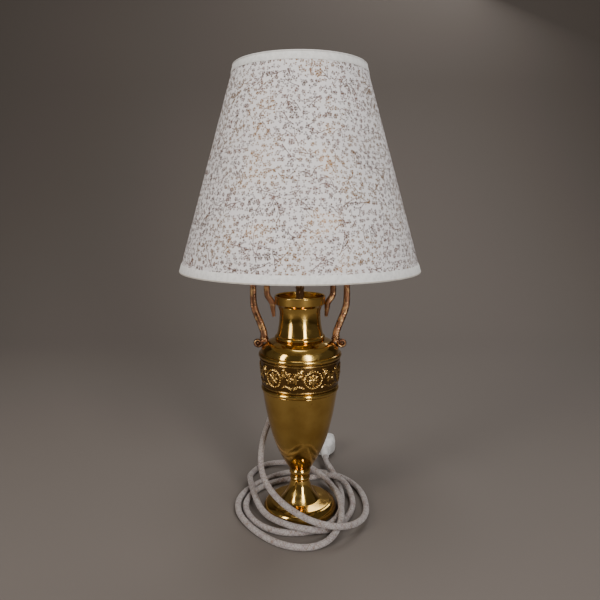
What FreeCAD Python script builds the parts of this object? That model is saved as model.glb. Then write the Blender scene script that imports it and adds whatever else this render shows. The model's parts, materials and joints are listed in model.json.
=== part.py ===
"""Brass urn table lamp with a printed fabric shade and a braided cord, as a parametric FreeCAD document.

Millimetres, +Z up, origin on the lamp's axis at the level it stands on. Every sub-part is an object
of the document, sized from the sheet "Sizes", and is written to parts/ under its own label.
"""
import FreeCAD, Part
import math
import os

import PartDesign
import Sketcher

# The driving dimensions: name, value, what it is.
SIZES = [
    ("felt_thickness", 1.5, "felt disc under the foot"),
    ("foot_radius", 48.3, "foot's lower edge"),
    ("foot_height", 42.5, "foot casting, rim to waist"),
    ("foot_rim_height", 12.7, "rounded rim up to its step"),
    ("foot_waist_radius", 12.3, "top of the foot"),
    ("knop_height", 17.8, "turned knop over the foot"),
    ("bowl_height", 107.2, "spun bowl of the urn"),
    ("bowl_bottom_radius", 15.5, "bowl where it meets the knop"),
    ("bowl_middle_radius", 38.3, "bowl where its curve changes"),
    ("bowl_middle_height", 51.9, "height of that change"),
    ("bowl_top_radius", 48.5, "bowl's upper edge"),
    ("sheet_wall", 1.8, "wall of the spun brass"),
    ("bead_height", 6.0, "each moulding of the frieze"),
    ("frieze_height", 38.0, "band between the mouldings"),
    ("frieze_bottom_radius", 49.0, "band at the lower moulding"),
    ("frieze_top_radius", 51.8, "band at the upper moulding"),
    ("shoulder_height", 17.0, "shoulder from moulding to neck"),
    ("shoulder_edge_radius", 40.7, "edge of the shoulder's top plate"),
    ("neck_height", 42.5, "neck from shoulder to collar"),
    ("neck_radius", 26.3, "neck at its narrowest"),
    ("neck_flare", 5.2, "how far the neck's base stands out"),
    ("collar_height", 13.5, "mouth collar"),
    ("collar_overhang", 6.3, "collar beyond the neck"),
    ("rod_radius", 4.8, "threaded centre rod"),
    ("rod_bore", 3.3, "bore of the rod"),
    ("rod_below", 17.0, "rod below the foot's top"),
    ("fit_gap", 0.15, "radial gap where a piece slides on the rod"),
    ("thread_gap", 0.02, "radial gap left where threads or brazed faces meet"),
    ("nut_radius", 8.1, "rod nuts, across corners"),
    ("nut_height", 6.0, "rod nuts"),
    ("washer_thickness", 1.5, "washers on the rod"),
    ("stem_reveal", 8.0, "bare rod between collar and coupler"),
    ("coupler_length", 35.0, "coupler under the lampholder"),
    ("handle_radius", 3.85, "half the thickness of a handle's arm"),
    ("handle_reach", 9.4, "inner arm's centre beyond the collar"),
    ("handle_loop", 17.3, "spacing of a handle's two arms"),
    ("handle_rise", 20.0, "centre of the handle's arch above the collar"),
    ("scroll_radius", 5.8, "scroll at the handle's foot"),
    ("holder_radius", 19.5, "lampholder's skirt"),
    ("holder_wall", 1.6, "lampholder's wall"),
    ("holder_cap_height", 22.0, "lampholder's domed cap"),
    ("skirt_height", 41.0, "lampholder's threaded skirt"),
    ("flange_radius", 25.5, "flange that carries the shade"),
    ("block_height", 16.0, "ceramic block in the holder"),
    ("bar_radius", 2.5, "push bar of the switch"),
    ("bar_length", 53.0, "push bar of the switch"),
    ("bar_travel", 6.0, "stroke of the push bar"),
    ("slide_gap", 0.08, "radial gap round the push bar"),
    ("part_gap", 0.3, "gap between pieces that turn on each other"),
    ("cap_radius", 13.15, "bulb's screw cap"),
    ("bulb_radius", 30.0, "bulb's glass at its widest"),
    ("bulb_neck_length", 55.0, "cap's top to the middle of the round"),
    ("glass_wall", 1.0, "wall of the bulb's glass"),
    ("shade_bottom_radius", 149.0, "shade's lower edge"),
    ("shade_top_radius", 79.2, "shade's upper edge"),
    ("shade_height", 242.6, "shade, edge to edge"),
    ("shade_lift", 33.0, "shade's lower edge above the collar"),
    ("shade_wall", 1.0, "card and fabric of the shade"),
    ("wire_radius", 1.6, "wire rings of the shade"),
    ("trim_width", 10.0, "fabric band along each edge"),
    ("trim_thickness", 0.5, "fabric band along each edge"),
    ("spoke_radius", 1.7, "spokes of the shade carrier"),
    ("outlet_radius", 6.6, "cord outlet on the bowl"),
    ("cord_radius", 4.0, "braided cord"),
    ("relief_length", 24.0, "rubber sleeve at the cord outlet"),
    ("plug_width", 36.0, "plug body across the pins"),
    ("plug_thickness", 27.0, "plug body, as it lies"),
    ("plug_length", 42.0, "plug body along the pins"),
    ("pin_radius", 2.4, "plug pins"),
    ("pin_length", 19.0, "plug pins beyond the body"),
    ("pin_spacing", 19.0, "plug pins, centre to centre"),
]

# The cord's route after its sleeve, chosen by hand: it falls behind the bowl's left side, passes in
# front of the foot and lies round it in loose, crossing loops before it ends in the plug.
FLOOR = 4.05
CORD_ROUTE = [
    (-50.5, 38, 87), (-53.5, 30, 73), (-54, 17.5, 62), (-52, 2, 54), (-46.5, -15, 47),
    (-36.5, -33, 40.5), (-22, -50, 34), (-3, -65, 28), (18, -76, 23.5), (40, -79.5, 20),
    (61, -70, 15), (78, -49, 10), (87.5, -21, 5.5), (90, 8, FLOOR), (87, 37, FLOOR),
    (77, 63, FLOOR), (60.5, 84, FLOOR), (38, 96, FLOOR), (13, 101, FLOOR), (-12, 99, FLOOR),
    (-34, 89, FLOOR), (-51, 74, FLOOR), (-66, 56.5, FLOOR), (-79, 36, FLOOR), (-85, 12, FLOOR),
    (-83, -12, FLOOR), (-75, -33, FLOOR), (-62, -54, FLOOR), (-46, -73, FLOOR), (-27, -89, FLOOR),
    (-5, -98, FLOOR), (17, -97, FLOOR), (35, -86, 5.5), (46.5, -69, 9.5), (52.5, -50, 13),
    (54, -29, 13), (54.5, -8, 13), (52.5, 13, 13), (46.5, 34.5, 13), (36, 54.5, 16.5),
    (24, 73, 18), (13.5, 92, 15.5), (3, 109.5, 12), (-11, 122.5, 8), (-28.5, 129, 5),
    (-47, 127, FLOOR), (-62.5, 116, FLOOR), (-71, 99, FLOOR), (-74, 80, 8), (-73, 61, 12.9),
    (-69, 41, 13), (-64.5, 21, 12.8), (-59, 1, 11), (-51, -20, 9), (-39.5, -39.5, 9.5),
    (-25, -57, 12.9), (-8, -68.5, 13.2), (11.5, -72.5, 12), (30.5, -67, 7), (46, -55, FLOOR),
    (58, -38, FLOOR), (67, -18.5, FLOOR), (72, 2.5, FLOOR), (72, 24, 5), (67.5, 43, 10.5),
    (57.5, 58, 14.5), (43, 68, 14.5), (25, 74, 8.5), (5, 77, FLOOR), (-16, 75.5, FLOOR),
    (-36, 67.5, FLOOR), (-53, 54, FLOOR), (-66, 36, FLOOR), (-73.5, 14, FLOOR), (-73, -8, FLOOR),
    (-66, -28, FLOOR), (-54.5, -46, FLOOR), (-39, -59, FLOOR), (-20.5, -66.5, FLOOR),
    (-1, -67, FLOOR), (18, -62, FLOOR), (34.5, -51, FLOOR), (47, -35, FLOOR), (54, -15, FLOOR),
    (57, 6, FLOOR), (58.5, 27, FLOOR), (57.5, 47, FLOOR), (54, 66, 5.5), (49, 83.5, 12),
    (43.5, 100, 14), (40, 116, 13.5), (40, 131, 13.5),
]


class Size:
    """A length: its number now, and the expression that gives it again from the sheet."""

    def __init__(self, number, text):
        self.number = number
        self.text = text

    def joined(self, other, sign, result):
        return Size(result, "(%s %s %s)" % (self.text, sign, as_size(other).text))

    def __add__(self, other):
        return self.joined(other, "+", self.number + as_size(other).number)

    def __sub__(self, other):
        return self.joined(other, "-", self.number - as_size(other).number)

    def __mul__(self, other):
        return self.joined(other, "*", self.number * as_size(other).number)

    def __truediv__(self, other):
        return self.joined(other, "/", self.number / as_size(other).number)

    def root(self):
        return Size(math.sqrt(self.number), "sqrt(%s)" % self.text)

    def larger(self, other):
        return Size(max(self.number, other.number), "max(%s; %s)" % (self.text, other.text))

    def smaller(self, other):
        return Size(min(self.number, other.number), "min(%s; %s)" % (self.text, other.text))


def as_size(value):
    """A plain number is a size too."""
    if isinstance(value, Size):
        return value
    return Size(float(value), "(%r)" % float(value) if value < 0 else repr(float(value)))


doc = FreeCAD.newDocument("urn_table_lamp")
sheet = doc.addObject("Spreadsheet::Sheet", "Sizes")
size = {}
for row, (name, value, meaning) in enumerate(SIZES, start=1):
    sheet.set("A%d" % row, name)
    sheet.set("B%d" % row, str(value))
    sheet.setAlias("B%d" % row, name)
    sheet.set("C%d" % row, meaning)
    size[name] = Size(value, "Sizes." + name)
doc.recompute()

SUBPARTS = []


def keep(thing, label):
    """Gives a sub-part its own label, which names its file."""
    thing.Label = label
    SUBPARTS.append(thing)
    return thing


def bind(thing, **sizes):
    """Ties a feature's properties to the sheet; a double underscore stands for a dot."""
    for prop, value in sizes.items():
        thing.setExpression(prop.replace("__", "."), as_size(value).text)
    return thing


# ---- sketches and turned bodies -------------------------------------------------------------

def origin_plane(body, role):
    """One of a body's own origin planes."""
    return [feature for feature in body.Origin.OriginFeatures if feature.Role == role][0]


def new_sketch(body, name, role):
    sketch = body.newObject("Sketcher::SketchObject", name)
    sketch.AttachmentSupport = [(origin_plane(body, role), "")]
    sketch.MapMode = "FlatFace"
    return sketch


def pin_point(sketch, element, end, x, y):
    """Holds a sketch point at x, y, both from the sheet; a zero sits on the axis."""
    for kind, axis, value in (("DistanceX", -2, x), ("DistanceY", -1, y)):
        if value.text == "0.0":
            sketch.addConstraint(Sketcher.Constraint("PointOnObject", element, end, axis))
        else:
            mark = sketch.addConstraint(Sketcher.Constraint(kind, -1, 1, element, end, value.number))
            sketch.setExpression("Constraints[%d]" % mark, value.text)


def bowed_edge(start, end, bow):
    """A line, or the arc that bows out to the right of the way from start to end."""
    first = FreeCAD.Vector(start[0].number, start[1].number, 0)
    last = FreeCAD.Vector(end[0].number, end[1].number, 0)
    if bow is None:
        return Part.LineSegment(first, last)
    way = last - first
    side = FreeCAD.Vector(way.y, -way.x, 0).normalize()
    return Part.Arc(first, (first + last) * 0.5 + side * bow, last)


def draw_outline(sketch, corners):
    """A closed outline: corners (x, y) or (x, y, bow), where bow is the rise of the arc that follows."""
    full = [(as_size(c[0]), as_size(c[1]), c[2] if len(c) > 2 else None) for c in corners]
    count = len(full)
    for i, corner in enumerate(full):
        following = full[(i + 1) % count]
        bow = corner[2]
        edge = bowed_edge(corner, following, bow)
        sketch.addGeometry(edge, False)
        # FreeCAD's arcs run anticlockwise, so a bow to the right runs from start to end as drawn
        starts = 1 if bow is None or bow > 0 else 2
        pin_point(sketch, i, starts, corner[0], corner[1])
        if bow is not None:
            rise = abs(bow)
            run_x = following[0] - corner[0]
            run_y = following[1] - corner[1]
            radius = (run_x * run_x + run_y * run_y) / (8 * rise) + rise / 2
            mark = sketch.addConstraint(Sketcher.Constraint("Radius", i, radius.number))
            sketch.setExpression("Constraints[%d]" % mark, radius.text)
    for i, corner in enumerate(full):
        after = (i + 1) % count
        leaves = 2 if corner[2] is None or corner[2] > 0 else 1
        arrives = 1 if full[after][2] is None or full[after][2] > 0 else 2
        sketch.addConstraint(Sketcher.Constraint("Coincident", i, leaves, after, arrives))


def turned(label, corners):
    """A turned piece: its half outline (radius, height) spun about the lamp's axis."""
    body = doc.addObject("PartDesign::Body", label + "_body")
    sketch = new_sketch(body, label + "_outline", "XZ_Plane")
    draw_outline(sketch, corners)
    spin = body.newObject("PartDesign::Revolution", label + "_spin")
    spin.Profile = sketch
    spin.ReferenceAxis = (sketch, ["V_Axis"])
    spin.Angle = 360
    return keep(body, label)


def ring_outline(inner, outer, bottom, top):
    """The square outline of a plain ring or tube."""
    return [(inner, bottom), (outer, bottom), (outer, top), (inner, top)]


def cylinder(name, radius, height, x=0.0, y=0.0, bottom=0.0):
    """An upright cylinder whose sizes and place come from the sheet."""
    rod = doc.addObject("Part::Cylinder", name)
    bind(rod, Radius=radius, Height=height)
    bind(rod, Placement__Base__x=x, Placement__Base__y=y, Placement__Base__z=bottom)
    return rod


def cut(base, tool, name):
    """A boolean cut; the result takes over the base's label if it is kept."""
    result = doc.addObject("Part::Cut", name)
    result.Base = base
    result.Tool = tool
    return result


def fuse(pieces, name):
    result = doc.addObject("Part::MultiFuse", name)
    result.Shapes = pieces
    return result


def compound(pieces, name):
    """Identical loose pieces kept together as one node."""
    result = doc.addObject("Part::Compound", name)
    result.Links = pieces
    return result


def replace_subpart(old, new):
    """The cut piece stands in for the plain one and takes its label."""
    label = old.Label
    SUBPARTS.remove(old)
    old.Label = label + "_blank"
    return keep(new, label)


# ---- the levels at which the pieces of the stack meet ------------------------------------------

s = size
foot_bottom = s["felt_thickness"]
foot_top = foot_bottom + s["foot_height"]
knop_top = foot_top + s["knop_height"]
bowl_top = knop_top + s["bowl_height"]
frieze_bottom = bowl_top + s["bead_height"]
frieze_top = frieze_bottom + s["frieze_height"]
shoulder_bottom = frieze_top + s["bead_height"]
shoulder_top = shoulder_bottom + s["shoulder_height"]
neck_top = shoulder_top + s["neck_height"]
collar_top = neck_top + s["collar_height"]
coupler_bottom = collar_top + s["stem_reveal"]
holder_bottom = coupler_bottom + s["coupler_length"]
skirt_bottom = holder_bottom + s["holder_cap_height"]
flange_top = skirt_bottom + 13.5
shade_bottom = collar_top + s["shade_lift"]
shade_top = shade_bottom + s["shade_height"]
rod_hole = s["rod_radius"] + s["fit_gap"]
rod_thread = s["rod_radius"] + s["thread_gap"]
wall = s["sheet_wall"]

# ---- foot: felt, casting, weight, washer and nut -------------------------------------------------

keep(cylinder("felt_disc", s["foot_radius"] - 2, s["felt_thickness"]), "felt_pad")

foot_seat = foot_top - 6
turned("foot", [
    (s["foot_radius"], foot_bottom, 3.2),
    (s["foot_radius"] - 7.8, foot_bottom + s["foot_rim_height"]),
    (s["foot_radius"] - 22.3, foot_bottom + s["foot_rim_height"] + 2.4, -2.4),
    (s["foot_waist_radius"], foot_top),
    (rod_hole, foot_top),
    (rod_hole, foot_seat),
    (s["foot_waist_radius"] - 2.3, foot_seat),
    (s["foot_radius"] - 24.8, foot_bottom + s["foot_rim_height"] - 0.1),
    (s["foot_radius"] - 10, foot_bottom + s["foot_rim_height"] - 2.5),
    (s["foot_radius"] - 3.3, foot_bottom),
])
turned("foot_weight", ring_outline(
    as_size(14), s["foot_radius"] - 13.3, foot_bottom, foot_bottom + s["foot_rim_height"] - 3.5))

washer_bottom = foot_seat - s["washer_thickness"]
turned("foot_washer", ring_outline(
    rod_hole, s["foot_waist_radius"] - 3.3, washer_bottom, foot_seat))


def hex_nut(label, bottom):
    """A plain hexagon nut on the centre rod."""
    block = doc.addObject("Part::Prism", label + "_hexagon")
    block.Polygon = 6
    bind(block, Circumradius=s["nut_radius"], Height=s["nut_height"], Placement__Base__z=bottom)
    bore = cylinder(label + "_bore", rod_thread, s["nut_height"] + 2, bottom=bottom - 1)
    return keep(cut(block, bore, label + "_cut"), label)


hex_nut("foot_nut", washer_bottom - s["nut_height"])

# ---- urn: knop, bowl, frieze between two mouldings, shoulder, neck and mouth collar ---------------

waist = s["foot_waist_radius"]
turned("knop", [
    (waist, foot_top, 1.2),
    (waist, foot_top + 5),
    (waist - 0.8, foot_top + 5.8),
    (waist - 0.2, foot_top + 6.6, 2.0),
    (waist - 0.2, knop_top - 1.6),
    (waist + 1.2, knop_top),
    (rod_hole, knop_top),
    (rod_hole, foot_top),
])

bowl_change = knop_top + s["bowl_middle_height"]
bowl_blank = turned("urn_bowl", [
    (s["bowl_bottom_radius"], knop_top, 2.3),
    (s["bowl_middle_radius"], bowl_change, 0.9),
    (s["bowl_top_radius"], bowl_top),
    (s["bowl_top_radius"] - wall, bowl_top, -0.9),
    (s["bowl_middle_radius"] - wall, bowl_change, -2.3),
    (s["bowl_bottom_radius"] + 1.4, knop_top + 8),
    (rod_hole, knop_top + 8),
    (rod_hole, knop_top),
])


def half_round_ring(label, below, above, bottom, bulge):
    """A half-round moulding with a flat inner wall, as wide as the two edges that it joins."""
    top = bottom + s["bead_height"]
    outer = below.larger(above)
    inner = below.smaller(above) - 4.2
    return turned(label, [(inner, bottom), (outer, bottom, bulge), (outer, top), (inner, top)])


half_round_ring("lower_moulding", s["bowl_top_radius"] - 0.3, s["frieze_bottom_radius"] - 0.8, bowl_top, 2.2)
turned("frieze_band", [
    (s["frieze_bottom_radius"], frieze_bottom, 0.9),
    (s["frieze_top_radius"], frieze_top),
    (s["frieze_top_radius"] - wall, frieze_top, -0.9),
    (s["frieze_bottom_radius"] - wall, frieze_bottom),
])
upper_edge = s["frieze_top_radius"] - 0.6
half_round_ring("upper_moulding", upper_edge, upper_edge, frieze_top, 2.4)

plate_edge = s["shoulder_edge_radius"]
plate_level = shoulder_top - 3.6
neck_base = s["neck_radius"] + s["neck_flare"]
turned("shoulder", [
    (s["frieze_top_radius"] - 0.8, shoulder_bottom, 1.5),
    (plate_edge + 2.9, plate_level - 1.4),
    (plate_edge, plate_level),
    (neck_base + 0.5, shoulder_top),
    (s["neck_radius"] - 2.3, shoulder_top),
    (s["neck_radius"] - 2.3, shoulder_top - wall),
    (neck_base, shoulder_top - wall),
    (plate_edge - 1, plate_level - wall),
    (plate_edge + 1.5, plate_level - 1.4 - wall, -1.5),
    (s["frieze_top_radius"] - 2.6, shoulder_bottom),
])

ledge = neck_top - 16.5
turned("neck", [
    (neck_base, shoulder_top, 1.2),
    (neck_base - 0.5, shoulder_top + 4.6),
    (neck_base - 1.7, shoulder_top + 5.4, -1.2),
    (s["neck_radius"], neck_top - 6),
    (s["neck_radius"] + 2.1, neck_top),
    (s["neck_radius"] + 0.3, neck_top),
    (s["neck_radius"] - 1.8, neck_top - 6),
    (s["neck_radius"] - 1.8, ledge),
    (s["neck_radius"] - 3.4, ledge),
    (s["neck_radius"] - 3.4, ledge - 2),
    (neck_base - 3.6, shoulder_top + 5),
    (neck_base - 3.6, shoulder_top),
])
collar = s["neck_radius"] + s["collar_overhang"]
collar_blank = turned("mouth_collar", [
    (s["neck_radius"] + 0.3, neck_top),
    (s["neck_radius"] + 2.1, neck_top),
    (collar - 0.8, neck_top + 3.2),
    (collar, collar_top - 1.4, 0.5),
    (collar - 1.4, collar_top),
    (collar - 2.2, collar_top - 1),
    (collar - 2.6, neck_top + 4.5),
    (s["neck_radius"] + 0.3, neck_top + 1.8),
])

# ---- centre rod, plate in the neck, coupler ------------------------------------------------------

rod_bottom = foot_top - s["rod_below"]
rod_top = holder_bottom + 8
turned("centre_rod", ring_outline(s["rod_bore"], s["rod_radius"], rod_bottom, rod_top))
turned("neck_plate", ring_outline(rod_hole, s["neck_radius"] - 2, ledge, ledge + 2))
hex_nut("neck_nut", ledge + 2)
turned("stem_coupler", ring_outline(rod_thread, s["rod_radius"] + 0.7, coupler_bottom, holder_bottom))

# ---- handles: cast loops brazed to collar and shoulder -------------------------------------------


def rounded_path(sketch, corners, radii):
    """Straight runs through the corners, with a tangent arc of the given radius at each inner one."""
    points = [(as_size(x), as_size(y)) for x, y in corners]
    place = [FreeCAD.Vector(x.number, y.number, 0) for x, y in points]
    starts, ends, arcs = [place[0]], [], []
    for before, here, after, radius in zip(place, place[1:], place[2:], radii):
        back = (before - here).normalize()
        ahead = (after - here).normalize()
        half_turn = (math.pi - back.getAngle(ahead)) / 2
        run = radius * math.tan(half_turn)
        centre = here + (back + ahead).normalize() * (radius / math.cos(half_turn))
        middle = centre + (here - centre).normalize() * radius
        ends.append(here + back * run)
        arcs.append(Part.Arc(here + back * run, middle, here + ahead * run))
        starts.append(here + ahead * run)
    ends.append(place[-1])
    lines = [sketch.addGeometry(Part.LineSegment(a, b), False) for a, b in zip(starts, ends)]
    marks = []
    for x, y in points:
        spot = sketch.addGeometry(Part.Point(FreeCAD.Vector(x.number, y.number, 0)), True)
        pin_point(sketch, spot, 1, x, y)
        marks.append(spot)
    add = sketch.addConstraint
    add(Sketcher.Constraint("Coincident", lines[0], 1, marks[0], 1))
    add(Sketcher.Constraint("Coincident", lines[-1], 2, marks[-1], 1))
    for i, arc in enumerate(arcs):
        bend = sketch.addGeometry(arc, False)
        add(Sketcher.Constraint("PointOnObject", marks[i + 1], 1, lines[i]))
        add(Sketcher.Constraint("PointOnObject", marks[i + 1], 1, lines[i + 1]))
        turns_left = (ends[i] - starts[i]).cross(ends[i + 1] - starts[i + 1]).z > 0
        begins = 1 if turns_left else 2
        add(Sketcher.Constraint("Tangent", lines[i], 2, bend, begins))
        add(Sketcher.Constraint("Tangent", bend, 3 - begins, lines[i + 1], 1))
        add(Sketcher.Constraint("Radius", bend, radii[i]))


def piped(body, name, corners, radii, thickness, role, offset):
    """A round bar along a rounded path in the XZ plane; it starts square to the named plane."""
    path = new_sketch(body, name + "_path", "XZ_Plane")
    rounded_path(path, corners, radii)
    section = new_sketch(body, name + "_section", role)
    section.setExpression("AttachmentOffset.Base.z", as_size(offset).text)
    start_x = as_size(corners[0][0])
    start_z = as_size(corners[0][1])
    across, up = (start_x, as_size(0)) if role == "XY_Plane" else (as_size(0), start_z)
    centre = FreeCAD.Vector(across.number, up.number, 0)
    ring = section.addGeometry(Part.Circle(centre, FreeCAD.Vector(0, 0, 1), thickness.number), False)
    pin_point(section, ring, 3, across, up)
    mark = section.addConstraint(Sketcher.Constraint("Radius", ring, thickness.number))
    section.setExpression("Constraints[%d]" % mark, thickness.text)
    doc.recompute()
    pipe = body.newObject("PartDesign::AdditivePipe", name)
    pipe.Profile = section
    pipe.Spine = path
    return pipe


def side_disc(body, name, x, z, radius, width):
    """A disc across the handle's plane."""
    sketch = new_sketch(body, name + "_circle", "XZ_Plane")
    centre = FreeCAD.Vector(x.number, z.number, 0)
    ring = sketch.addGeometry(Part.Circle(centre, FreeCAD.Vector(0, 0, 1), radius.number), False)
    pin_point(sketch, ring, 3, x, z)
    mark = sketch.addConstraint(Sketcher.Constraint("Radius", ring, radius.number))
    sketch.setExpression("Constraints[%d]" % mark, radius.text)
    pad = body.newObject("PartDesign::Pad", name)
    pad.Profile = sketch
    pad.Midplane = True
    pad.setExpression("Length", as_size(width).text)
    return pad


def groove_out(body, name, corners):
    """Takes the ring of an outline out of a body, so that it beds on what is turned inside it."""
    doc.recompute()
    before = body.Shape.Volume
    sketch = new_sketch(body, name + "_outline", "XZ_Plane")
    draw_outline(sketch, corners)
    groove = body.newObject("PartDesign::Groove", name)
    groove.Profile = sketch
    groove.ReferenceAxis = (sketch, ["V_Axis"])
    groove.Angle = 360
    doc.recompute()
    if body.Shape.Volume >= before:
        raise RuntimeError(name + " cuts nothing")


def handle(label, turn):
    """One handle: tail and inner arm at the collar, arch, outer arm, and a scroll on the shoulder."""
    body = doc.addObject("PartDesign::Body", label + "_body")
    inner = collar + s["handle_reach"]
    outer = inner + s["handle_loop"]
    arch = collar_top + s["handle_rise"]
    arch_top = arch + s["handle_loop"] / 2
    half_loop = s["handle_loop"].number / 2
    foot_x = plate_edge + 5.4
    foot_z = shoulder_top
    piped(body, label + "_arm", [
        (collar + 1.4, neck_top - 8.5),
        (collar + 1.4, neck_top + 2),
        (inner, neck_top + 16),
        (inner, arch_top),
        (outer, arch_top),
        (outer, collar_top + 1),
        (outer - 3.2, collar_top - 22),
        (foot_x, foot_z + 4),
        (foot_x, foot_z),
    ], [9.0, 9.0, half_loop * 0.98, half_loop * 0.98, 60.0, 45.0, 4.0], s["handle_radius"],
        "XY_Plane", neck_top - 8.5)
    side_disc(body, label + "_pad", foot_x, foot_z - 3.2, s["handle_radius"] + 1, 11.0)
    side_disc(body, label + "_scroll", foot_x + 8.2, foot_z - 6.2, s["scroll_radius"], 9.4)
    gap = s["thread_gap"]
    groove_out(body, label + "_collar_bed", [
        (s["neck_radius"] + 1, neck_top - gap),
        (s["neck_radius"] + 2.1 + gap, neck_top - gap),
        (collar - 0.8 + gap, neck_top + 3.2),
        (collar + gap, collar_top - 1.4),
        (collar + gap, collar_top + 1),
        (s["neck_radius"] + 1, collar_top + 1),
    ])
    groove_out(body, label + "_shoulder_bed", [
        (s["neck_radius"], shoulder_bottom - 6),
        (s["frieze_top_radius"] - 0.8 + gap, shoulder_bottom - 6),
        (s["frieze_top_radius"] - 0.8 + gap, shoulder_bottom, 1.5),
        (plate_edge + 2.9 + gap, plate_level - 1.4),
        (plate_edge + gap, plate_level + gap),
        (neck_base + 0.5, shoulder_top + gap),
        (s["neck_radius"], shoulder_top + gap),
    ])
    body.Placement = FreeCAD.Placement(
        FreeCAD.Vector(0, 0, 0), FreeCAD.Rotation(FreeCAD.Vector(0, 0, 1), turn))
    return keep(body, label)


handle("right_handle", 0)
handle("left_handle", 180)

# ---- lampholder with its push-bar switch ---------------------------------------------------------

skirt = s["holder_radius"]
skirt_inner = skirt - s["holder_wall"]
bar_level = skirt_bottom + 4
bar_hole = s["bar_radius"] + s["slide_gap"]
turned("holder_cap", [
    (rod_thread, holder_bottom),
    (rod_thread + 2.7, holder_bottom),
    (rod_thread + 2.7, holder_bottom + 4.5, 2.0),
    (skirt, skirt_bottom - 7),
    (skirt, skirt_bottom),
    (skirt_inner, skirt_bottom),
    (skirt_inner, skirt_bottom - 6.4, -2.0),
    (rod_thread + 2.3, holder_bottom + 6.5),
    (rod_thread, holder_bottom + 6.5),
])


def across_bore(name, radius, level, length):
    """A bar along Y through the lamp's axis, used to bore holes for the switch bar."""
    bar = doc.addObject("Part::Cylinder", name)
    bind(bar, Radius=radius, Height=length, Placement__Base__y=length / -2, Placement__Base__z=level)
    bar.Placement.Rotation = FreeCAD.Rotation(FreeCAD.Vector(1, 0, 0), -90)
    return bar


block_bottom = skirt_bottom - 6
block_top = block_bottom + s["block_height"]
block = turned("holder_block", [
    (s["rod_bore"], block_bottom),
    (skirt_inner - 0.8, block_bottom),
    (skirt_inner - 0.8, block_top),
    (as_size(0), block_top),
    (as_size(0), bar_level + s["bar_radius"] + 1.5),
    (s["rod_bore"], bar_level + s["bar_radius"] + 1.5),
])
replace_subpart(block, cut(block, across_bore("block_bore", bar_hole, bar_level, s["bar_length"]),
                           "holder_block_cut"))

skirt_top = skirt_bottom + s["skirt_height"]
skirt_piece = turned("holder_skirt", [
    (skirt_inner, skirt_bottom),
    (skirt, skirt_bottom),
    (skirt, flange_top - 2.5),
    (s["flange_radius"], flange_top - 2.5),
    (s["flange_radius"], flange_top),
    (skirt, flange_top),
    (skirt, skirt_top),
    (skirt_inner, skirt_top),
])
replace_subpart(skirt_piece, cut(
    skirt_piece, across_bore("skirt_bore", bar_hole, bar_level, s["bar_length"] * 1.2), "skirt_cut"))

switch_bar = across_bore("switch_rod", s["bar_radius"], bar_level, s["bar_length"])
bind(switch_bar, Placement__Base__y=(s["bar_length"] + s["bar_travel"]) / -2)
keep(switch_bar, "switch_bar")

shell_inner = s["cap_radius"] + s["part_gap"]
turned("screw_shell", ring_outline(shell_inner, shell_inner + 0.6, block_top, skirt_top - 3))
keep(cylinder("contact_disc", 3.5, 1.2, bottom=block_top), "centre_contact")
terminals = [
    cylinder("terminal_%d" % i, 2.0, 4.0, x=9.5 * math.cos(math.radians(120 * i)),
             y=9.5 * math.sin(math.radians(120 * i)), bottom=block_bottom - 4)
    for i in range(3)
]
keep(compound(terminals, "terminals"), "terminal_screws")

# ---- bulb: contact, screw cap, glass and filament support -----------------------------------------

bulb_bottom = block_top + 1.2 + s["part_gap"]
cap_bottom = bulb_bottom + 1.5
cap_top = cap_bottom + 24
keep(cylinder("bulb_button", 4.6, 1.5, bottom=bulb_bottom), "bulb_contact")
turned("bulb_cap", [
    (as_size(0), cap_bottom),
    (as_size(4.6), cap_bottom),
    (s["cap_radius"] - 3, cap_bottom + 2.5),
    (s["cap_radius"], cap_bottom + 5),
    (s["cap_radius"], cap_top),
    (as_size(0), cap_top),
])
round_middle = cap_top + s["bulb_neck_length"]
bulb_top = round_middle + s["bulb_radius"]
glass = s["glass_wall"]
QUARTER_RISE = 1 - math.cos(math.radians(45))
turned("bulb_glass", [
    (s["cap_radius"] - 1.8, cap_top),
    (s["cap_radius"] - 0.3, cap_top),
    (s["cap_radius"] + 1.2, cap_top + 9, 4.0),
    (s["bulb_radius"], round_middle, s["bulb_radius"].number * QUARTER_RISE),
    (as_size(0), bulb_top),
    (as_size(0), bulb_top - glass, -(s["bulb_radius"] - glass).number * QUARTER_RISE),
    (s["bulb_radius"] - glass, round_middle, -4.0),
    (s["cap_radius"] + 0.2, cap_top + 9),
])
turned("bulb_stem", [
    (as_size(0), cap_top),
    (as_size(8), cap_top),
    (as_size(3.6), cap_top + 9),
    (as_size(2.8), cap_top + 40),
    (as_size(0), cap_top + 42),
])

# ---- shade: carrier ring with spokes, wire rings, printed shell and edge bands ---------------------

carrier_bottom = flange_top + s["part_gap"]
carrier_top = carrier_bottom + 2
carrier_edge = s["flange_radius"] + 3.5
slope = (s["shade_bottom_radius"] - s["shade_top_radius"]) / s["shade_height"]
wire_inset = s["shade_wall"] + (s["wire_radius"] + 0.05) * (slope * slope + 1).root()
ring_drop = s["wire_radius"] + 0.2
ring_level = shade_bottom + ring_drop
bottom_ring_radius = s["shade_bottom_radius"] - slope * ring_drop - wire_inset
top_ring_radius = s["shade_top_radius"] + slope * ring_drop - wire_inset

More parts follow.
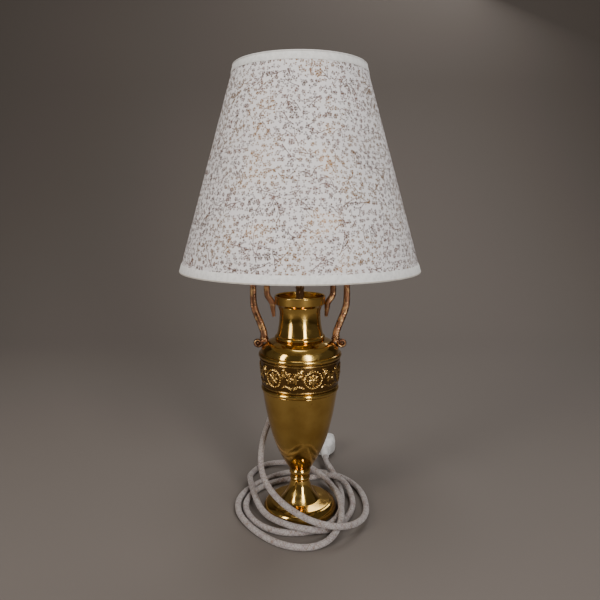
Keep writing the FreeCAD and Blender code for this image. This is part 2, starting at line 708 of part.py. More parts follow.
carrier = doc.addObject("PartDesign::Body", "shade_carrier_body")
carrier_sketch = new_sketch(carrier, "carrier_outline", "XZ_Plane")
draw_outline(carrier_sketch, ring_outline(skirt + s["part_gap"], carrier_edge, carrier_bottom, carrier_top))
carrier_ring = carrier.newObject("PartDesign::Revolution", "carrier_ring")
carrier_ring.Profile = carrier_sketch
carrier_ring.ReferenceAxis = (carrier_sketch, ["V_Axis"])
carrier_ring.Angle = 360
spoke_level = carrier_bottom + 1
spoke = piped(carrier, "spoke", [
    (carrier_edge - 1.3, spoke_level),
    (carrier_edge + 14, spoke_level),
    (bottom_ring_radius - 14, ring_level),
    (bottom_ring_radius - s["wire_radius"] - s["thread_gap"], ring_level),
], [14.0, 14.0], s["spoke_radius"], "YZ_Plane", carrier_edge - 1.3)
doc.recompute()
spokes = carrier.newObject("PartDesign::PolarPattern", "spokes")
spokes.Originals = [spoke]
spokes.Axis = (carrier_sketch, ["V_Axis"])
spokes.Angle = 360
spokes.Occurrences = 3
carrier.Tip = spokes
SPOKE_TURN = 90
carrier.Placement = FreeCAD.Placement(
    FreeCAD.Vector(0, 0, 0), FreeCAD.Rotation(FreeCAD.Vector(0, 0, 1), SPOKE_TURN))
keep(carrier, "shade_carrier")


def wire_ring(name, radius, level):
    hoop = doc.addObject("Part::Torus", name)
    return bind(hoop, Radius1=radius, Radius2=s["wire_radius"], Placement__Base__z=level)


keep(wire_ring("bottom_hoop", bottom_ring_radius, ring_level), "bottom_wire_ring")
keep(wire_ring("top_hoop", top_ring_radius, shade_top - ring_drop), "top_wire_ring")

turned("shade_shell", [
    (s["shade_bottom_radius"] - s["shade_wall"], shade_bottom),
    (s["shade_bottom_radius"], shade_bottom),
    (s["shade_top_radius"], shade_top),
    (s["shade_top_radius"] - s["shade_wall"], shade_top),
])


def edge_band(label, low_radius, low, high_radius, high):
    """A fabric band round the outside of the shade."""
    skin = s["trim_thickness"]
    return turned(label, [
        (low_radius, low), (low_radius + skin, low), (high_radius + skin, high), (high_radius, high)])


band = s["trim_width"]
edge_band("bottom_edge_band", s["shade_bottom_radius"], shade_bottom,
          s["shade_bottom_radius"] - slope * band, shade_bottom + band)
edge_band("top_edge_band", s["shade_top_radius"] + slope * band, shade_top - band,
          s["shade_top_radius"], shade_top)

nut_bottom = carrier_top + s["part_gap"]
turned("shade_ring_nut", [
    (skirt + s["part_gap"], nut_bottom),
    (s["flange_radius"] + 0.5, nut_bottom),
    (s["flange_radius"] + 0.5, nut_bottom + 2.5),
    (skirt + 4, nut_bottom + 5),
    (skirt + 4, nut_bottom + 11),
    (skirt + s["part_gap"], nut_bottom + 11),
])

# ---- cord outlet, sleeve, cord and plug ------------------------------------------------------------

OUTLET_AZIMUTH = 130
OUTLET_WAY = FreeCAD.Vector(-0.33, 0.13, -0.935).normalize()
outlet_level = knop_top + 86.2
along_slope = (s["bowl_top_radius"] - s["bowl_middle_radius"]) / (s["bowl_height"] - s["bowl_middle_height"])
outlet_reach = s["bowl_middle_radius"] + along_slope * (outlet_level - bowl_change) + 0.1
outlet_cos = math.cos(math.radians(OUTLET_AZIMUTH))
outlet_sin = math.sin(math.radians(OUTLET_AZIMUTH))


def outlet_rod(name, radius, start, end):
    """A cylinder along the cord's way out, from start to end past the bowl's wall."""
    rod = doc.addObject("Part::Cylinder", name)
    rod.Placement.Rotation = FreeCAD.Rotation(FreeCAD.Vector(0, 0, 1), OUTLET_WAY)
    start = as_size(start)
    bind(rod, Radius=radius, Height=as_size(end) - start,
         Placement__Base__x=outlet_reach * outlet_cos + start * OUTLET_WAY.x,
         Placement__Base__y=outlet_reach * outlet_sin + start * OUTLET_WAY.y,
         Placement__Base__z=outlet_level + start * OUTLET_WAY.z)
    return rod


INSIDE = as_size(-14)
OUTSIDE = as_size(12)
outlet_bore = s["cord_radius"] + 0.9
keep(cut(outlet_rod("outlet_outer", s["outlet_radius"], INSIDE, OUTSIDE),
         outlet_rod("outlet_inner", outlet_bore, INSIDE - 1, OUTSIDE + 1), "outlet_cut"), "cord_outlet")
replace_subpart(bowl_blank, cut(
    bowl_blank, outlet_rod("bowl_hole", s["outlet_radius"] + 0.02, INSIDE - 6, OUTSIDE + 10),
    "urn_bowl_cut"))
sleeve_seat = 2
relief_end = OUTSIDE + s["relief_length"] - sleeve_seat
sleeve = doc.addObject("Part::Cone", "sleeve_cone")
sleeve.Placement.Rotation = FreeCAD.Rotation(FreeCAD.Vector(0, 0, 1), OUTLET_WAY)
bind(sleeve, Radius1=outlet_bore + 1.2, Radius2=s["cord_radius"] + 0.5, Height=relief_end - OUTSIDE,
     Placement__Base__x=outlet_reach * outlet_cos + OUTSIDE * OUTLET_WAY.x,
     Placement__Base__y=outlet_reach * outlet_sin + OUTSIDE * OUTLET_WAY.y,
     Placement__Base__z=outlet_level + OUTSIDE * OUTLET_WAY.z)
keep(fuse([sleeve, outlet_rod("sleeve_plug", outlet_bore, OUTSIDE - 8, OUTSIDE + 1)], "sleeve_fuse"),
     "cord_sleeve")


def rounded_route(points):
    """Straight runs joined by tangent arcs, each as large as its two runs allow."""
    edges, radii, here = [], [], points[0]
    for before, corner, after in zip(points, points[1:], points[2:]):
        back, ahead = before - corner, after - corner
        run = 0.45 * min(back.Length, ahead.Length)
        back.normalize()
        ahead.normalize()
        half_turn = (math.pi - back.getAngle(ahead)) / 2
        radius = run / math.tan(half_turn)
        centre = corner + (back + ahead).normalize() * (radius / math.cos(half_turn))
        begins, ends = corner + back * run, corner + ahead * run
        middle = centre + (corner - centre).normalize() * radius
        edges.append(Part.LineSegment(here, begins).toShape())
        edges.append(Part.Arc(begins, middle, ends).toShape())
        radii.append(radius)
        here = ends
    edges.append(Part.LineSegment(here, points[-1]).toShape())
    return Part.Wire(edges), radii


def tube_along(label, points, radius):
    """A round cord along a rounded route, its volume compared with section times length."""
    path, radii = rounded_route(points)
    way = points[1] - points[0]
    section = Part.Wire([Part.Circle(points[0], way, radius).toShape()])
    solid = path.makePipeShell([section], True, False)
    ideal = math.pi * radius ** 2 * path.Length
    print("%s: length %.1f, smallest radii %s, volume ratio %.4f" % (
        label, path.Length, [round(r, 1) for r in sorted(radii)[:4]], solid.Volume / ideal))
    feature = doc.addObject("Part::Feature", label + "_tube")
    feature.Shape = solid
    return keep(feature, label)


outlet_point = FreeCAD.Vector(
    outlet_reach.number * outlet_cos, outlet_reach.number * outlet_sin, outlet_level.number)
sleeve_end = outlet_point + OUTLET_WAY * relief_end.number
first_turn = sleeve_end + OUTLET_WAY * 14
route = [sleeve_end, first_turn] + [FreeCAD.Vector(*point) for point in CORD_ROUTE]
cord = tube_along("braided_cord", route, s["cord_radius"].number)

plug_x, plug_back, plug_axis = CORD_ROUTE[-1]
PLUG_SLEEVE = 22.0
plug_front = plug_back + PLUG_SLEEVE
plug_neck = doc.addObject("Part::Cone", "plug_neck")
plug_neck.Placement = FreeCAD.Placement(
    FreeCAD.Vector(plug_x, plug_back, plug_axis), FreeCAD.Rotation(FreeCAD.Vector(1, 0, 0), -90))
bind(plug_neck, Radius1=s["cord_radius"] + 0.6, Radius2=s["cord_radius"] + 2.6, Height=PLUG_SLEEVE)
keep(plug_neck, "plug_sleeve")

plug_block = doc.addObject("Part::Box", "plug_block")
bind(plug_block, Length=s["plug_width"], Width=s["plug_length"], Height=s["plug_thickness"],
     Placement__Base__x=as_size(plug_x) - s["plug_width"] / 2, Placement__Base__y=plug_front,
     Placement__Base__z=as_size(plug_axis) - s["plug_thickness"] / 2)
doc.recompute()
plug_body = doc.addObject("Part::Fillet", "plug_fillet")
plug_body.Base = plug_block
PLUG_ROUNDING = 6.0
lengthwise = [
    index for index, edge in enumerate(plug_block.Shape.Edges, start=1)
    if abs(edge.tangentAt(edge.FirstParameter).y) > 0.9
]
plug_body.Edges = [(index, PLUG_ROUNDING, PLUG_ROUNDING) for index in lengthwise]
keep(plug_body, "plug_body")

pins = []
for side in (-1, 1):
    pin = doc.addObject("Part::Cylinder", "plug_pin_%s" % ("a" if side < 0 else "b"))
    pin.Placement.Rotation = FreeCAD.Rotation(FreeCAD.Vector(1, 0, 0), -90)
    bind(pin, Radius=s["pin_radius"], Height=s["pin_length"],
         Placement__Base__x=as_size(plug_x) + s["pin_spacing"] * side / 2,
         Placement__Base__y=s["plug_length"] + plug_front, Placement__Base__z=plug_axis)
    pins.append(pin)
keep(compound(pins, "pins"), "plug_pins")

# ---- check every object, then write the parts -------------------------------------------------------

doc.recompute()
for thing in doc.Objects:
    if "Invalid" in thing.State or "Error" in thing.State:
        raise RuntimeError("%s did not compute" % thing.Label)
for thing in SUBPARTS:
    if thing.Shape.isNull() or not thing.Shape.isValid() or thing.Shape.Volume <= 0:
        raise RuntimeError("%s has no valid solid" % thing.Label)

os.makedirs("parts", exist_ok=True)
for old in os.listdir("parts"):
    if old.endswith(".step"):
        os.remove(os.path.join("parts", old))
for thing in SUBPARTS:
    thing.Shape.exportStep(os.path.join("parts", thing.Label + ".step"))
print("%d parts written" % len(SUBPARTS))
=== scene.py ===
"""Brass urn table lamp: turned and pressed brass, cast handles, a printed shade and a braided cord."""
import math
import random

import bmesh
import bpy
import numpy as np
from mathutils import Matrix, Vector
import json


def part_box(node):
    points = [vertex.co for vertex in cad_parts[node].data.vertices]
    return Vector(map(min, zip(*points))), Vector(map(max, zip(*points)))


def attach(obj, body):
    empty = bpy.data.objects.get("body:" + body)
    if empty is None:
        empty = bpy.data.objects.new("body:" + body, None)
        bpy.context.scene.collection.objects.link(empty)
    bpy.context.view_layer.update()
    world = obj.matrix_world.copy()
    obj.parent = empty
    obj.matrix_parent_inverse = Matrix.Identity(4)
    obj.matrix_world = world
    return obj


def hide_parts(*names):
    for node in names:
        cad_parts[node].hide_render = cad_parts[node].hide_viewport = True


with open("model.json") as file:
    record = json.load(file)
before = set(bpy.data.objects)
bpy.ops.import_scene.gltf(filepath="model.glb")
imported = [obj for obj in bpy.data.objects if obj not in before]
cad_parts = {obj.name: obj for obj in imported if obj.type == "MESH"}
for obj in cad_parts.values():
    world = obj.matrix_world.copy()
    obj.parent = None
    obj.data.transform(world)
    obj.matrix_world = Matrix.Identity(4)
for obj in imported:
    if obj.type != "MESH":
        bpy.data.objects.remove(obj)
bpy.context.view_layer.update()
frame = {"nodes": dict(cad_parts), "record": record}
random.seed(7)

MM = 0.001


# ---- camera, floor and light ---------------------------------------------------------------------

camera = bpy.data.objects.new("camera", bpy.data.cameras.new("camera"))
camera.data.lens = 34.54
camera.data.sensor_width = 36.0
camera.data.clip_start = 0.01
camera.location = (0.0, -0.7229, 0.4066)
camera.rotation_euler = (math.radians(90 - 9.5), 0, 0)
bpy.context.scene.collection.objects.link(camera)
bpy.context.scene.camera = camera


def plain_material(name, colour, roughness, metallic=0.0):
    """A principled material, returned with its node tree and shader for more detail."""
    made = bpy.data.materials.new(name)
    made.use_nodes = True
    shader = made.node_tree.nodes["Principled BSDF"]
    shader.inputs["Base Color"].default_value = (*colour, 1)
    shader.inputs["Roughness"].default_value = roughness
    shader.inputs["Metallic"].default_value = metallic
    return made, made.node_tree, shader


def add_object(name, mesh):
    made = bpy.data.objects.new(name, mesh)
    bpy.context.scene.collection.objects.link(made)
    return made


backdrop = [(-3.0, 0.0), (0.9, 0.0)]
for step in range(1, 17):
    bend = math.pi / 2 * step / 16
    backdrop.append((0.9 + 0.9 * math.sin(bend), 0.9 - 0.9 * math.cos(bend)))
backdrop.append((1.8, 4.0))
floor_points = [(x, y, z) for y, z in backdrop for x in (-4, 4)]
floor_faces = [(2 * i, 2 * i + 1, 2 * i + 3, 2 * i + 2) for i in range(len(backdrop) - 1)]
floor_mesh = bpy.data.meshes.new("floor")
floor_mesh.from_pydata(floor_points, [], floor_faces)
floor_mesh.shade_smooth()
floor = add_object("floor", floor_mesh)
floor_paint, _, _ = plain_material("brown_floor", (0.155, 0.130, 0.112), 0.8)
floor_mesh.materials.append(floor_paint)


def soft_light(name, place, target, width, height, power, colour=(1, 1, 1)):
    """A soft box that faces its target."""
    data = bpy.data.lights.new(name, "AREA")
    data.shape = "RECTANGLE"
    data.size = width
    data.size_y = height
    data.energy = power
    data.color = colour
    lamp = bpy.data.objects.new(name, data)
    lamp.location = place
    way = Vector(target) - Vector(place)
    lamp.rotation_euler = way.to_track_quat("-Z", "Y").to_euler()
    bpy.context.scene.collection.objects.link(lamp)
    return lamp


soft_light("key", (0.62, -1.30, 0.78), (0, 0, 0.25), 0.26, 1.30, 19)
soft_light("fill", (-1.15, -0.95, 0.75), (0, 0, 0.28), 0.34, 1.2, 13, (1.0, 0.97, 0.93))
soft_light("back", (0.5, 1.6, 1.6), (0, 0, 0.3), 1.2, 0.8, 16)
soft_light("top", (-0.2, -0.2, 2.1), (0, 0, 0.2), 1.0, 1.0, 13)

world = bpy.data.worlds.new("studio")
world.use_nodes = True
world.node_tree.nodes["Background"].inputs["Color"].default_value = (0.80, 0.72, 0.66, 1)
world.node_tree.nodes["Background"].inputs["Strength"].default_value = 0.10
bpy.context.scene.world = world


# ---- material helpers ----------------------------------------------------------------------------

def add_node(tree, kind, inputs=(), **settings):
    """A node with its settings, and its inputs given as numbers or linked from sockets."""
    made = tree.nodes.new(kind)
    for key, value in settings.items():
        setattr(made, key, value)
    for key, value in dict(inputs).items():
        if isinstance(value, bpy.types.NodeSocket):
            tree.links.new(value, made.inputs[key])
        else:
            made.inputs[key].default_value = value
    return made


def math_node(tree, operation, *values):
    return add_node(tree, "ShaderNodeMath", enumerate(values), operation=operation).outputs[0]


def mix_colour(tree, factor, first, second):
    """Mixes two colours or colour sockets by a factor."""
    mix = add_node(tree, "ShaderNodeMix", {0: factor}, data_type="RGBA")
    for socket, value in ((mix.inputs[6], first), (mix.inputs[7], second)):
        if isinstance(value, bpy.types.NodeSocket):
            tree.links.new(value, socket)
        else:
            socket.default_value = (*value, 1)
    return mix.outputs[2]


def ramp(tree, value, low, high, to_low=0.0, to_high=1.0):
    """Maps a value smoothly between two bounds."""
    return add_node(tree, "ShaderNodeMapRange", {
        "Value": value, "From Min": low, "From Max": high, "To Min": to_low, "To Max": to_high,
    }, interpolation_type="SMOOTHSTEP").outputs["Result"]


def object_coords(tree, stretch=(1, 1, 1)):
    coords = add_node(tree, "ShaderNodeTexCoord")
    mapping = add_node(tree, "ShaderNodeMapping", {"Vector": coords.outputs["Object"]})
    mapping.inputs["Scale"].default_value = stretch
    return mapping.outputs[0]


def noise(tree, scale, detail=3.0, vector=None, distortion=0.0):
    """A noise value over the object."""
    source = object_coords(tree) if vector is None else vector
    return add_node(tree, "ShaderNodeTexNoise", {
        "Vector": source, "Scale": scale, "Detail": detail, "Distortion": distortion,
    }).outputs["Fac"]


def bump(tree, shader, height, distance, strength=1.0, under=None):
    """Adds a bump to a shader, on top of another one if it is given."""
    inputs = {"Height": height, "Distance": distance, "Strength": strength}
    if under is not None:
        inputs["Normal"] = under
    made = add_node(tree, "ShaderNodeBump", inputs)
    tree.links.new(made.outputs[0], shader.inputs["Normal"])
    return made.outputs[0]


# ---- metals --------------------------------------------------------------------------------------

def polished_brass(name, bright, deep, roughness, tarnish):
    """Lacquered brass: warm, with polishing lines round the axis, faint smudges and brown spots."""
    made, tree, shader = plain_material(name, bright, roughness, 1.0)
    clouds = noise(tree, 28, 4)
    spots = ramp(tree, noise(tree, 320, 5), 0.66, 0.76, 0.0, tarnish)
    tone = mix_colour(tree, ramp(tree, clouds, 0.38, 0.68), bright, deep)
    tree.links.new(mix_colour(tree, spots, tone, (0.16, 0.075, 0.025)), shader.inputs["Base Color"])
    smudge = ramp(tree, noise(tree, 75, 5, distortion=0.6), 0.4, 0.7, roughness, roughness + 0.14)
    tree.links.new(smudge, shader.inputs["Roughness"])
    lines = noise(tree, 1.0, 2, object_coords(tree, (12, 12, 2600)))
    under = bump(tree, shader, lines, 0.00003, 0.35)
    bump(tree, shader, noise(tree, 40, 2), 0.0006, 0.25, under)
    return made


def aged_brass(name):
    """Cast brass gone brown, brighter where hands have rubbed it."""
    made, tree, shader = plain_material(name, (0.36, 0.19, 0.10), 0.38, 1.0)
    worn = ramp(tree, noise(tree, 160, 5), 0.48, 0.70)
    rust = ramp(tree, noise(tree, 60, 3), 0.40, 0.62)
    tone = mix_colour(tree, rust, (0.33, 0.155, 0.08), (0.19, 0.09, 0.05))
    tree.links.new(mix_colour(tree, worn, tone, (0.56, 0.34, 0.15)), shader.inputs["Base Color"])
    tree.links.new(ramp(tree, noise(tree, 210, 4), 0.35, 0.7, 0.27, 0.5), shader.inputs["Roughness"])
    bump(tree, shader, noise(tree, 900, 4), 0.0002, 0.6)
    return made


def plain_metal(name, colour, roughness, grain=700):
    """Sheet, rod or wire with fine grain and uneven polish."""
    made, tree, shader = plain_material(name, colour, roughness, 1.0)
    darker = tuple(0.7 * channel for channel in colour)
    tone = mix_colour(tree, ramp(tree, noise(tree, 90, 4), 0.35, 0.7), colour, darker)
    tree.links.new(tone, shader.inputs["Base Color"])
    uneven = ramp(tree, noise(tree, 240, 3), 0.3, 0.7, roughness - 0.06, roughness + 0.12)
    tree.links.new(uneven, shader.inputs["Roughness"])
    bump(tree, shader, noise(tree, grain, 3), 0.00008, 0.5)
    return made


def threaded_metal(name, colour, roughness):
    """Rod with a one-millimetre thread."""
    made = plain_metal(name, colour, roughness)
    tree = made.node_tree
    height = add_node(tree, "ShaderNodeSeparateXYZ", {0: object_coords(tree)}).outputs[2]
    wave = math_node(tree, "SINE", math_node(tree, "MULTIPLY", height, 2 * math.pi * 1000))
    bump(tree, tree.nodes["Principled BSDF"], wave, 0.0003, 0.8)
    return made


def embossed_brass(name):
    """Pressed brass, dark where its pattern lies deep."""
    made = polished_brass(name, (0.70, 0.45, 0.14), (0.52, 0.31, 0.09), 0.17, 0.8)
    tree = made.node_tree
    paint = tree.nodes["Principled BSDF"].inputs["Base Color"]
    tone = paint.links[0].from_socket
    height = add_node(tree, "ShaderNodeAttribute", attribute_name="relief").outputs["Fac"]
    depth = ramp(tree, height, 0.1, 0.8, 0.85, 0.0)
    tree.links.new(mix_colour(tree, depth, tone, (0.13, 0.065, 0.02)), paint)
    return made


BRASS = polished_brass("polished_brass", (0.72, 0.47, 0.13), (0.56, 0.34, 0.085), 0.10, 0.5)
FRIEZE_BRASS = embossed_brass("frieze_brass")
CAST_BRASS = aged_brass("cast_brass")
HOLDER_BRASS = plain_metal("holder_brass", (0.76, 0.56, 0.26), 0.24)
ROD_BRASS = threaded_metal("rod_brass", (0.52, 0.29, 0.14), 0.28)
STEEL = plain_metal("plated_steel", (0.60, 0.60, 0.59), 0.34)
IRON = plain_metal("weight_iron", (0.12, 0.12, 0.12), 0.65, 300)
ALUMINIUM = plain_metal("bulb_aluminium", (0.78, 0.78, 0.79), 0.26)
NICKEL = plain_metal("pin_nickel", (0.75, 0.74, 0.71), 0.22)


# ---- turned brass: foot, knop, bowl, mouldings, shoulder, neck and collar ------------------------

def bowed(start, end, bow, steps):
    """Points of the arc from start to before end that bows to the right of its way."""
    begin, finish = Vector(start), Vector(end)
    way = finish - begin
    side = Vector((way.y, -way.x)).normalized()
    radius = way.length ** 2 / (8 * abs(bow)) + abs(bow) / 2
    half = math.asin(min(1.0, way.length / (2 * radius)))
    sign = 1 if bow > 0 else -1
    middle = (begin + finish) / 2 + side * (bow - sign * radius)
    along = way.normalized()
    points = []
    for i in range(steps):
        turn = -half + 2 * half * i / steps
        points.append(middle + along * (radius * math.sin(turn)) + side * (sign * radius * math.cos(turn)))
    return points


def full_outline(corners, steps=14):
    """An outline's corners (radius, height[, bow]) with its arcs drawn out."""
    points = []
    for i, corner in enumerate(corners):
        following = corners[(i + 1) % len(corners)][:2]
        if len(corner) > 2:
            points += bowed(corner[:2], following, corner[2], steps)
        else:
            points.append(Vector(corner))
    return points


def spin_mesh(name, points, sides, closed=True):
    """Spins (radius, height) points in millimetres about the axis."""
    made = bmesh.new()
    rings = []
    for point in points:
        if point.x < 1e-6:
            rings.append([made.verts.new((0, 0, point.y * MM))])
            continue
        ring = []
        for k in range(sides):
            angle = 2 * math.pi * k / sides
            ring.append(made.verts.new((point.x * MM * math.cos(angle), point.x * MM * math.sin(angle),
                                        point.y * MM)))
        rings.append(ring)
    pairs = list(zip(rings, rings[1:]))
    if closed:
        pairs.append((rings[-1], rings[0]))
    for low, high in pairs:
        if len(low) == 1 and len(high) == 1:
            continue
        for k in range(sides):
            after = (k + 1) % sides
            corners = [low[k % len(low)], low[after % len(low)], high[after % len(high)], high[k % len(high)]]
            made.faces.new(list(dict.fromkeys(corners)))
    bmesh.ops.recalc_face_normals(made, faces=made.faces)
    mesh = bpy.data.meshes.new(name)
    made.to_mesh(mesh)
    made.free()
    return mesh


def smooth_mesh(mesh, angle=35):
    """Smooth shading, with edges kept sharp above an angle."""
    mesh.shade_smooth()
    mesh.set_sharp_from_angle(angle=math.radians(angle))


def dress(made, material, body, nodes):
    """Gives a piece its material and its body, and hides the CAD nodes that it stands for."""
    made.data.materials.clear()
    made.data.materials.append(material)
    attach(made, body)
    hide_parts(*nodes)
    return made


def turned(node, corners, material, body="lamp", edge=0.35, sides=144):
    """A turned piece over a CAD node: outline heights are above the node's bottom."""
    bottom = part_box(node)[0].z / MM
    lifted = [(c[0], c[1] + bottom, *c[2:]) for c in corners]
    mesh = spin_mesh(node + "_turned", full_outline(lifted), sides)
    smooth_mesh(mesh)
    made = add_object(node + "_turned", mesh)
    if edge:
        rounding = made.modifiers.new("edges", "BEVEL")
        rounding.width = edge * MM
        rounding.segments = 3
        rounding.limit_method = "ANGLE"
        rounding.angle_limit = math.radians(32)
    return dress(made, material, body, [node])


turned("foot", [
    (48.3, 0, 3.2), (40.5, 12.7), (39.4, 13.6), (38.6, 13.7), (26, 15.1, -2.4), (12.3, 42.5), (4.95, 42.5),
    (4.95, 36.5), (10, 36.5), (23.5, 12.6), (38.3, 10.2), (45, 0),
], BRASS)
turned("knop", [
    (12.3, 0, 1.2), (12.3, 5), (11.5, 5.8), (12.1, 6.6, 2.0), (12.1, 16.2), (13.5, 17.8), (4.95, 17.8),
    (4.95, 0),
], BRASS)
turned("urn_bowl", [
    (15.5, 0, 2.3), (38.3, 51.9, 0.9), (48.5, 107.2), (46.7, 107.2, -0.9), (36.5, 51.9, -2.3),
    (16.9, 8), (4.95, 8), (4.95, 0),
], BRASS)
turned("lower_moulding", [(44, 0), (48.2, 0, 2.2), (48.2, 6), (44, 6)], BRASS)
turned("upper_moulding", [(47, 0), (51.2, 0, 2.4), (51.2, 6), (47, 6)], BRASS)
turned("shoulder", [
    (51, 0, 1.5), (43.6, 12), (40.7, 13.4), (32, 17), (24, 17), (24, 15.2), (31.5, 15.2), (39.7, 11.6),
    (42.2, 10.2, -1.5), (49.2, 0),
], BRASS)
turned("neck", [
    (31.5, 0, 1.2), (31, 4.6), (29.8, 5.4, -1.2), (26.3, 36.5), (28.4, 42.5), (26.6, 42.5), (24.5, 36.5),
    (24.5, 26), (22.9, 26), (22.9, 24), (27.9, 5), (27.9, 0),
], BRASS)
turned("mouth_collar", [
    (26.6, 0), (28.4, 0), (31.8, 3.2), (32.6, 12.1, 0.5), (31.2, 13.5), (30.4, 12.5), (30, 4.5), (26.6, 1.8),
], BRASS)


# ---- frieze: pressed wreaths, rosettes and scrolling leaves --------------------------------------

REPEATS = 6
ACROSS = 56
UP = 96


def stroke(points, width, taper, peak):
    """A raised stroke: points with radii that shrink towards its end."""
    count = len(points)
    return [(x, y, width * (1 - taper * i / max(1, count - 1)), peak) for i, (x, y) in enumerate(points)]


def leaf(x, y, angle, length, width, peak):
    """A leaf: a stroke that swells in the middle and ends in a point."""
    dots = []
    for i in range(9):
        part = i / 8
        swell = math.sin(math.pi * min(1.0, 0.15 + 0.85 * part)) ** 0.8
        dots.append((x + length * part * math.cos(angle), y + length * part * math.sin(angle),
                     max(0.35, width * swell), peak))
    return dots


def frieze_dots(pitch):
    """The ornament of one repeat as round dots (along, up, radius, height) in millimetres."""
    dots = [(0, 19, 2.6, 2.1)]
    for i in range(8):
        angle = math.pi * i / 4
        dots += leaf(2.4 * math.cos(angle), 19 + 2.4 * math.sin(angle), angle, 5.2, 1.9, 1.5)
    for i in range(22):
        angle = 2 * math.pi * i / 22
        dots += leaf(10.2 * math.cos(angle), 19 + 10.2 * math.sin(angle), angle + 1.15, 3.6, 1.25, 1.35)
    for side in (-1, 1):
        stem = []
        for i in range(46):
            turn = 4.7 * i / 45
            reach = 7.0 * math.exp(-0.28 * turn)
            stem.append((side * (pitch / 2 - 5.5 - reach * math.cos(turn)),
                         20.5 + reach * math.sin(turn) * 1.25))
        dots += stroke(stem, 1.3, 0.45, 1.25)
        for i in range(3, 40, 6):
            x, y = stem[i]
            ahead = math.atan2(stem[i + 1][1] - y, stem[i + 1][0] - x)
            dots += leaf(x, y, ahead + side * 0.9, 4.2, 1.35, 1.3)
            dots += leaf(x, y, ahead - side * 0.9, 3.4, 1.1, 1.2)
        low = [(side * (12 + 0.75 * i), 8.5 + 1.9 * math.sin(i / 4.2)) for i in range(18)]
        dots += stroke(low, 1.1, 0.4, 1.1)
        for i in (2, 6, 10, 14):
            dots += leaf(*low[i], math.pi / 2 - side * 1.25, 3.6, 1.2, 1.2)
        dots += leaf(side * 13.5, 27, math.pi / 2 - side * 0.7, 6.5, 1.9, 1.4)
        dots += leaf(side * 13.0, 31, math.pi / 2 - side * 1.3, 6.0, 1.5, 1.2)
    return dots


def frieze_relief():
    """The relief over the whole band, as heights on a grid, in millimetres."""
    pitch = 2 * math.pi * 50.4 / REPEATS
    along = np.linspace(-pitch / 2, pitch / 2, ACROSS * 2, endpoint=False)
    up = np.linspace(0, 38, UP)
    grid_x, grid_y = np.meshgrid(along, up)
    height = np.zeros_like(grid_x)
    for x, y, radius, peak in frieze_dots(pitch):
        for shift in (-pitch, 0, pitch):
            near = 1 - ((grid_x - x - shift) ** 2 + (grid_y - y) ** 2) / radius ** 2
            height = np.maximum(height, peak * np.sqrt(np.clip(near, 0, 1)))
    edge = np.minimum(grid_y, 38 - grid_y)
    height = np.maximum(height, 0.9 * np.clip(1 - ((edge - 2.2) / 0.9) ** 2, 0, 1) ** 0.5)
    height *= np.clip(edge / 0.6, 0, 1)
    return np.tile(height, (1, REPEATS)), up


relief, relief_levels = frieze_relief()
frieze_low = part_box("frieze_band")[0]
rows, columns = relief.shape
frieze_shape = bmesh.new()
frieze_grid = []
for j in range(rows):
    share = relief_levels[j] / 38
    base = 49.0 + 2.8 * share + 0.9 * (1 - (2 * share - 1) ** 2) - 0.7
    ring = []
    for i in range(columns):
        angle = 2 * math.pi * i / columns - math.radians(101)
        reach = (base + relief[j, i]) * MM
        ring.append(frieze_shape.verts.new((reach * math.cos(angle), reach * math.sin(angle),
                                            frieze_low.z + relief_levels[j] * MM)))
    frieze_grid.append(ring)
for j in range(rows - 1):
    for i in range(columns):
        after = (i + 1) % columns
        frieze_shape.faces.new((frieze_grid[j][i], frieze_grid[j][after],
                                frieze_grid[j + 1][after], frieze_grid[j + 1][i]))
frieze_mesh = bpy.data.meshes.new("frieze_relief")
frieze_shape.to_mesh(frieze_mesh)
frieze_shape.free()
frieze_mesh.attributes.new("relief", "FLOAT", "POINT").data.foreach_set("value", relief.ravel())
frieze_mesh.shade_smooth()
frieze = dress(add_object("frieze_relief", frieze_mesh), FRIEZE_BRASS, "lamp",
               ["frieze_band"])


# ---- handles: cast scaled bars with a tail at the collar and a volute on the shoulder ------------

def read_line(points, closeness=24):
    """Points along the smooth NURBS line of the given control points."""
    curve = bpy.data.curves.new("line", "CURVE")
    curve.dimensions = "3D"
    spline = curve.splines.new("NURBS")
    spline.points.add(len(points) - 1)
    for target, point in zip(spline.points, points):
        target.co = (*point, 1)
    spline.order_u = 3
    spline.use_endpoint_u = True
    spline.resolution_u = closeness
    holder = bpy.data.objects.new("line", curve)
    mesh = bpy.data.meshes.new_from_object(holder)
    found = [vertex.co.copy() for vertex in mesh.vertices]
    bpy.data.objects.remove(holder)
    bpy.data.curves.remove(curve)
    bpy.data.meshes.remove(mesh)
    return found


def even_steps(points, step):
    """The same line with points a fixed step apart."""
    lengths = [0.0]
    for before, after in zip(points, points[1:]):
        lengths.append(lengths[-1] + (after - before).length)
    count = max(2, round(lengths[-1] / step))
    coordinates = np.array([tuple(point) for point in points])
    wanted = np.linspace(0, lengths[-1], count + 1)
    columns = [np.interp(wanted, lengths, coordinates[:, k]) for k in range(3)]
    return [Vector(row) for row in zip(*columns)], lengths[-1]


def carried_frames(line, first_side):
    """A side vector for each point, carried along the line without twist."""
    sides = []
    side = first_side
    for i in range(len(line)):
        way = (line[min(i + 1, len(line) - 1)] - line[max(i - 1, 0)]).normalized()
        side = (side - way * side.dot(way)).normalized()
        sides.append((way, side))
    return sides


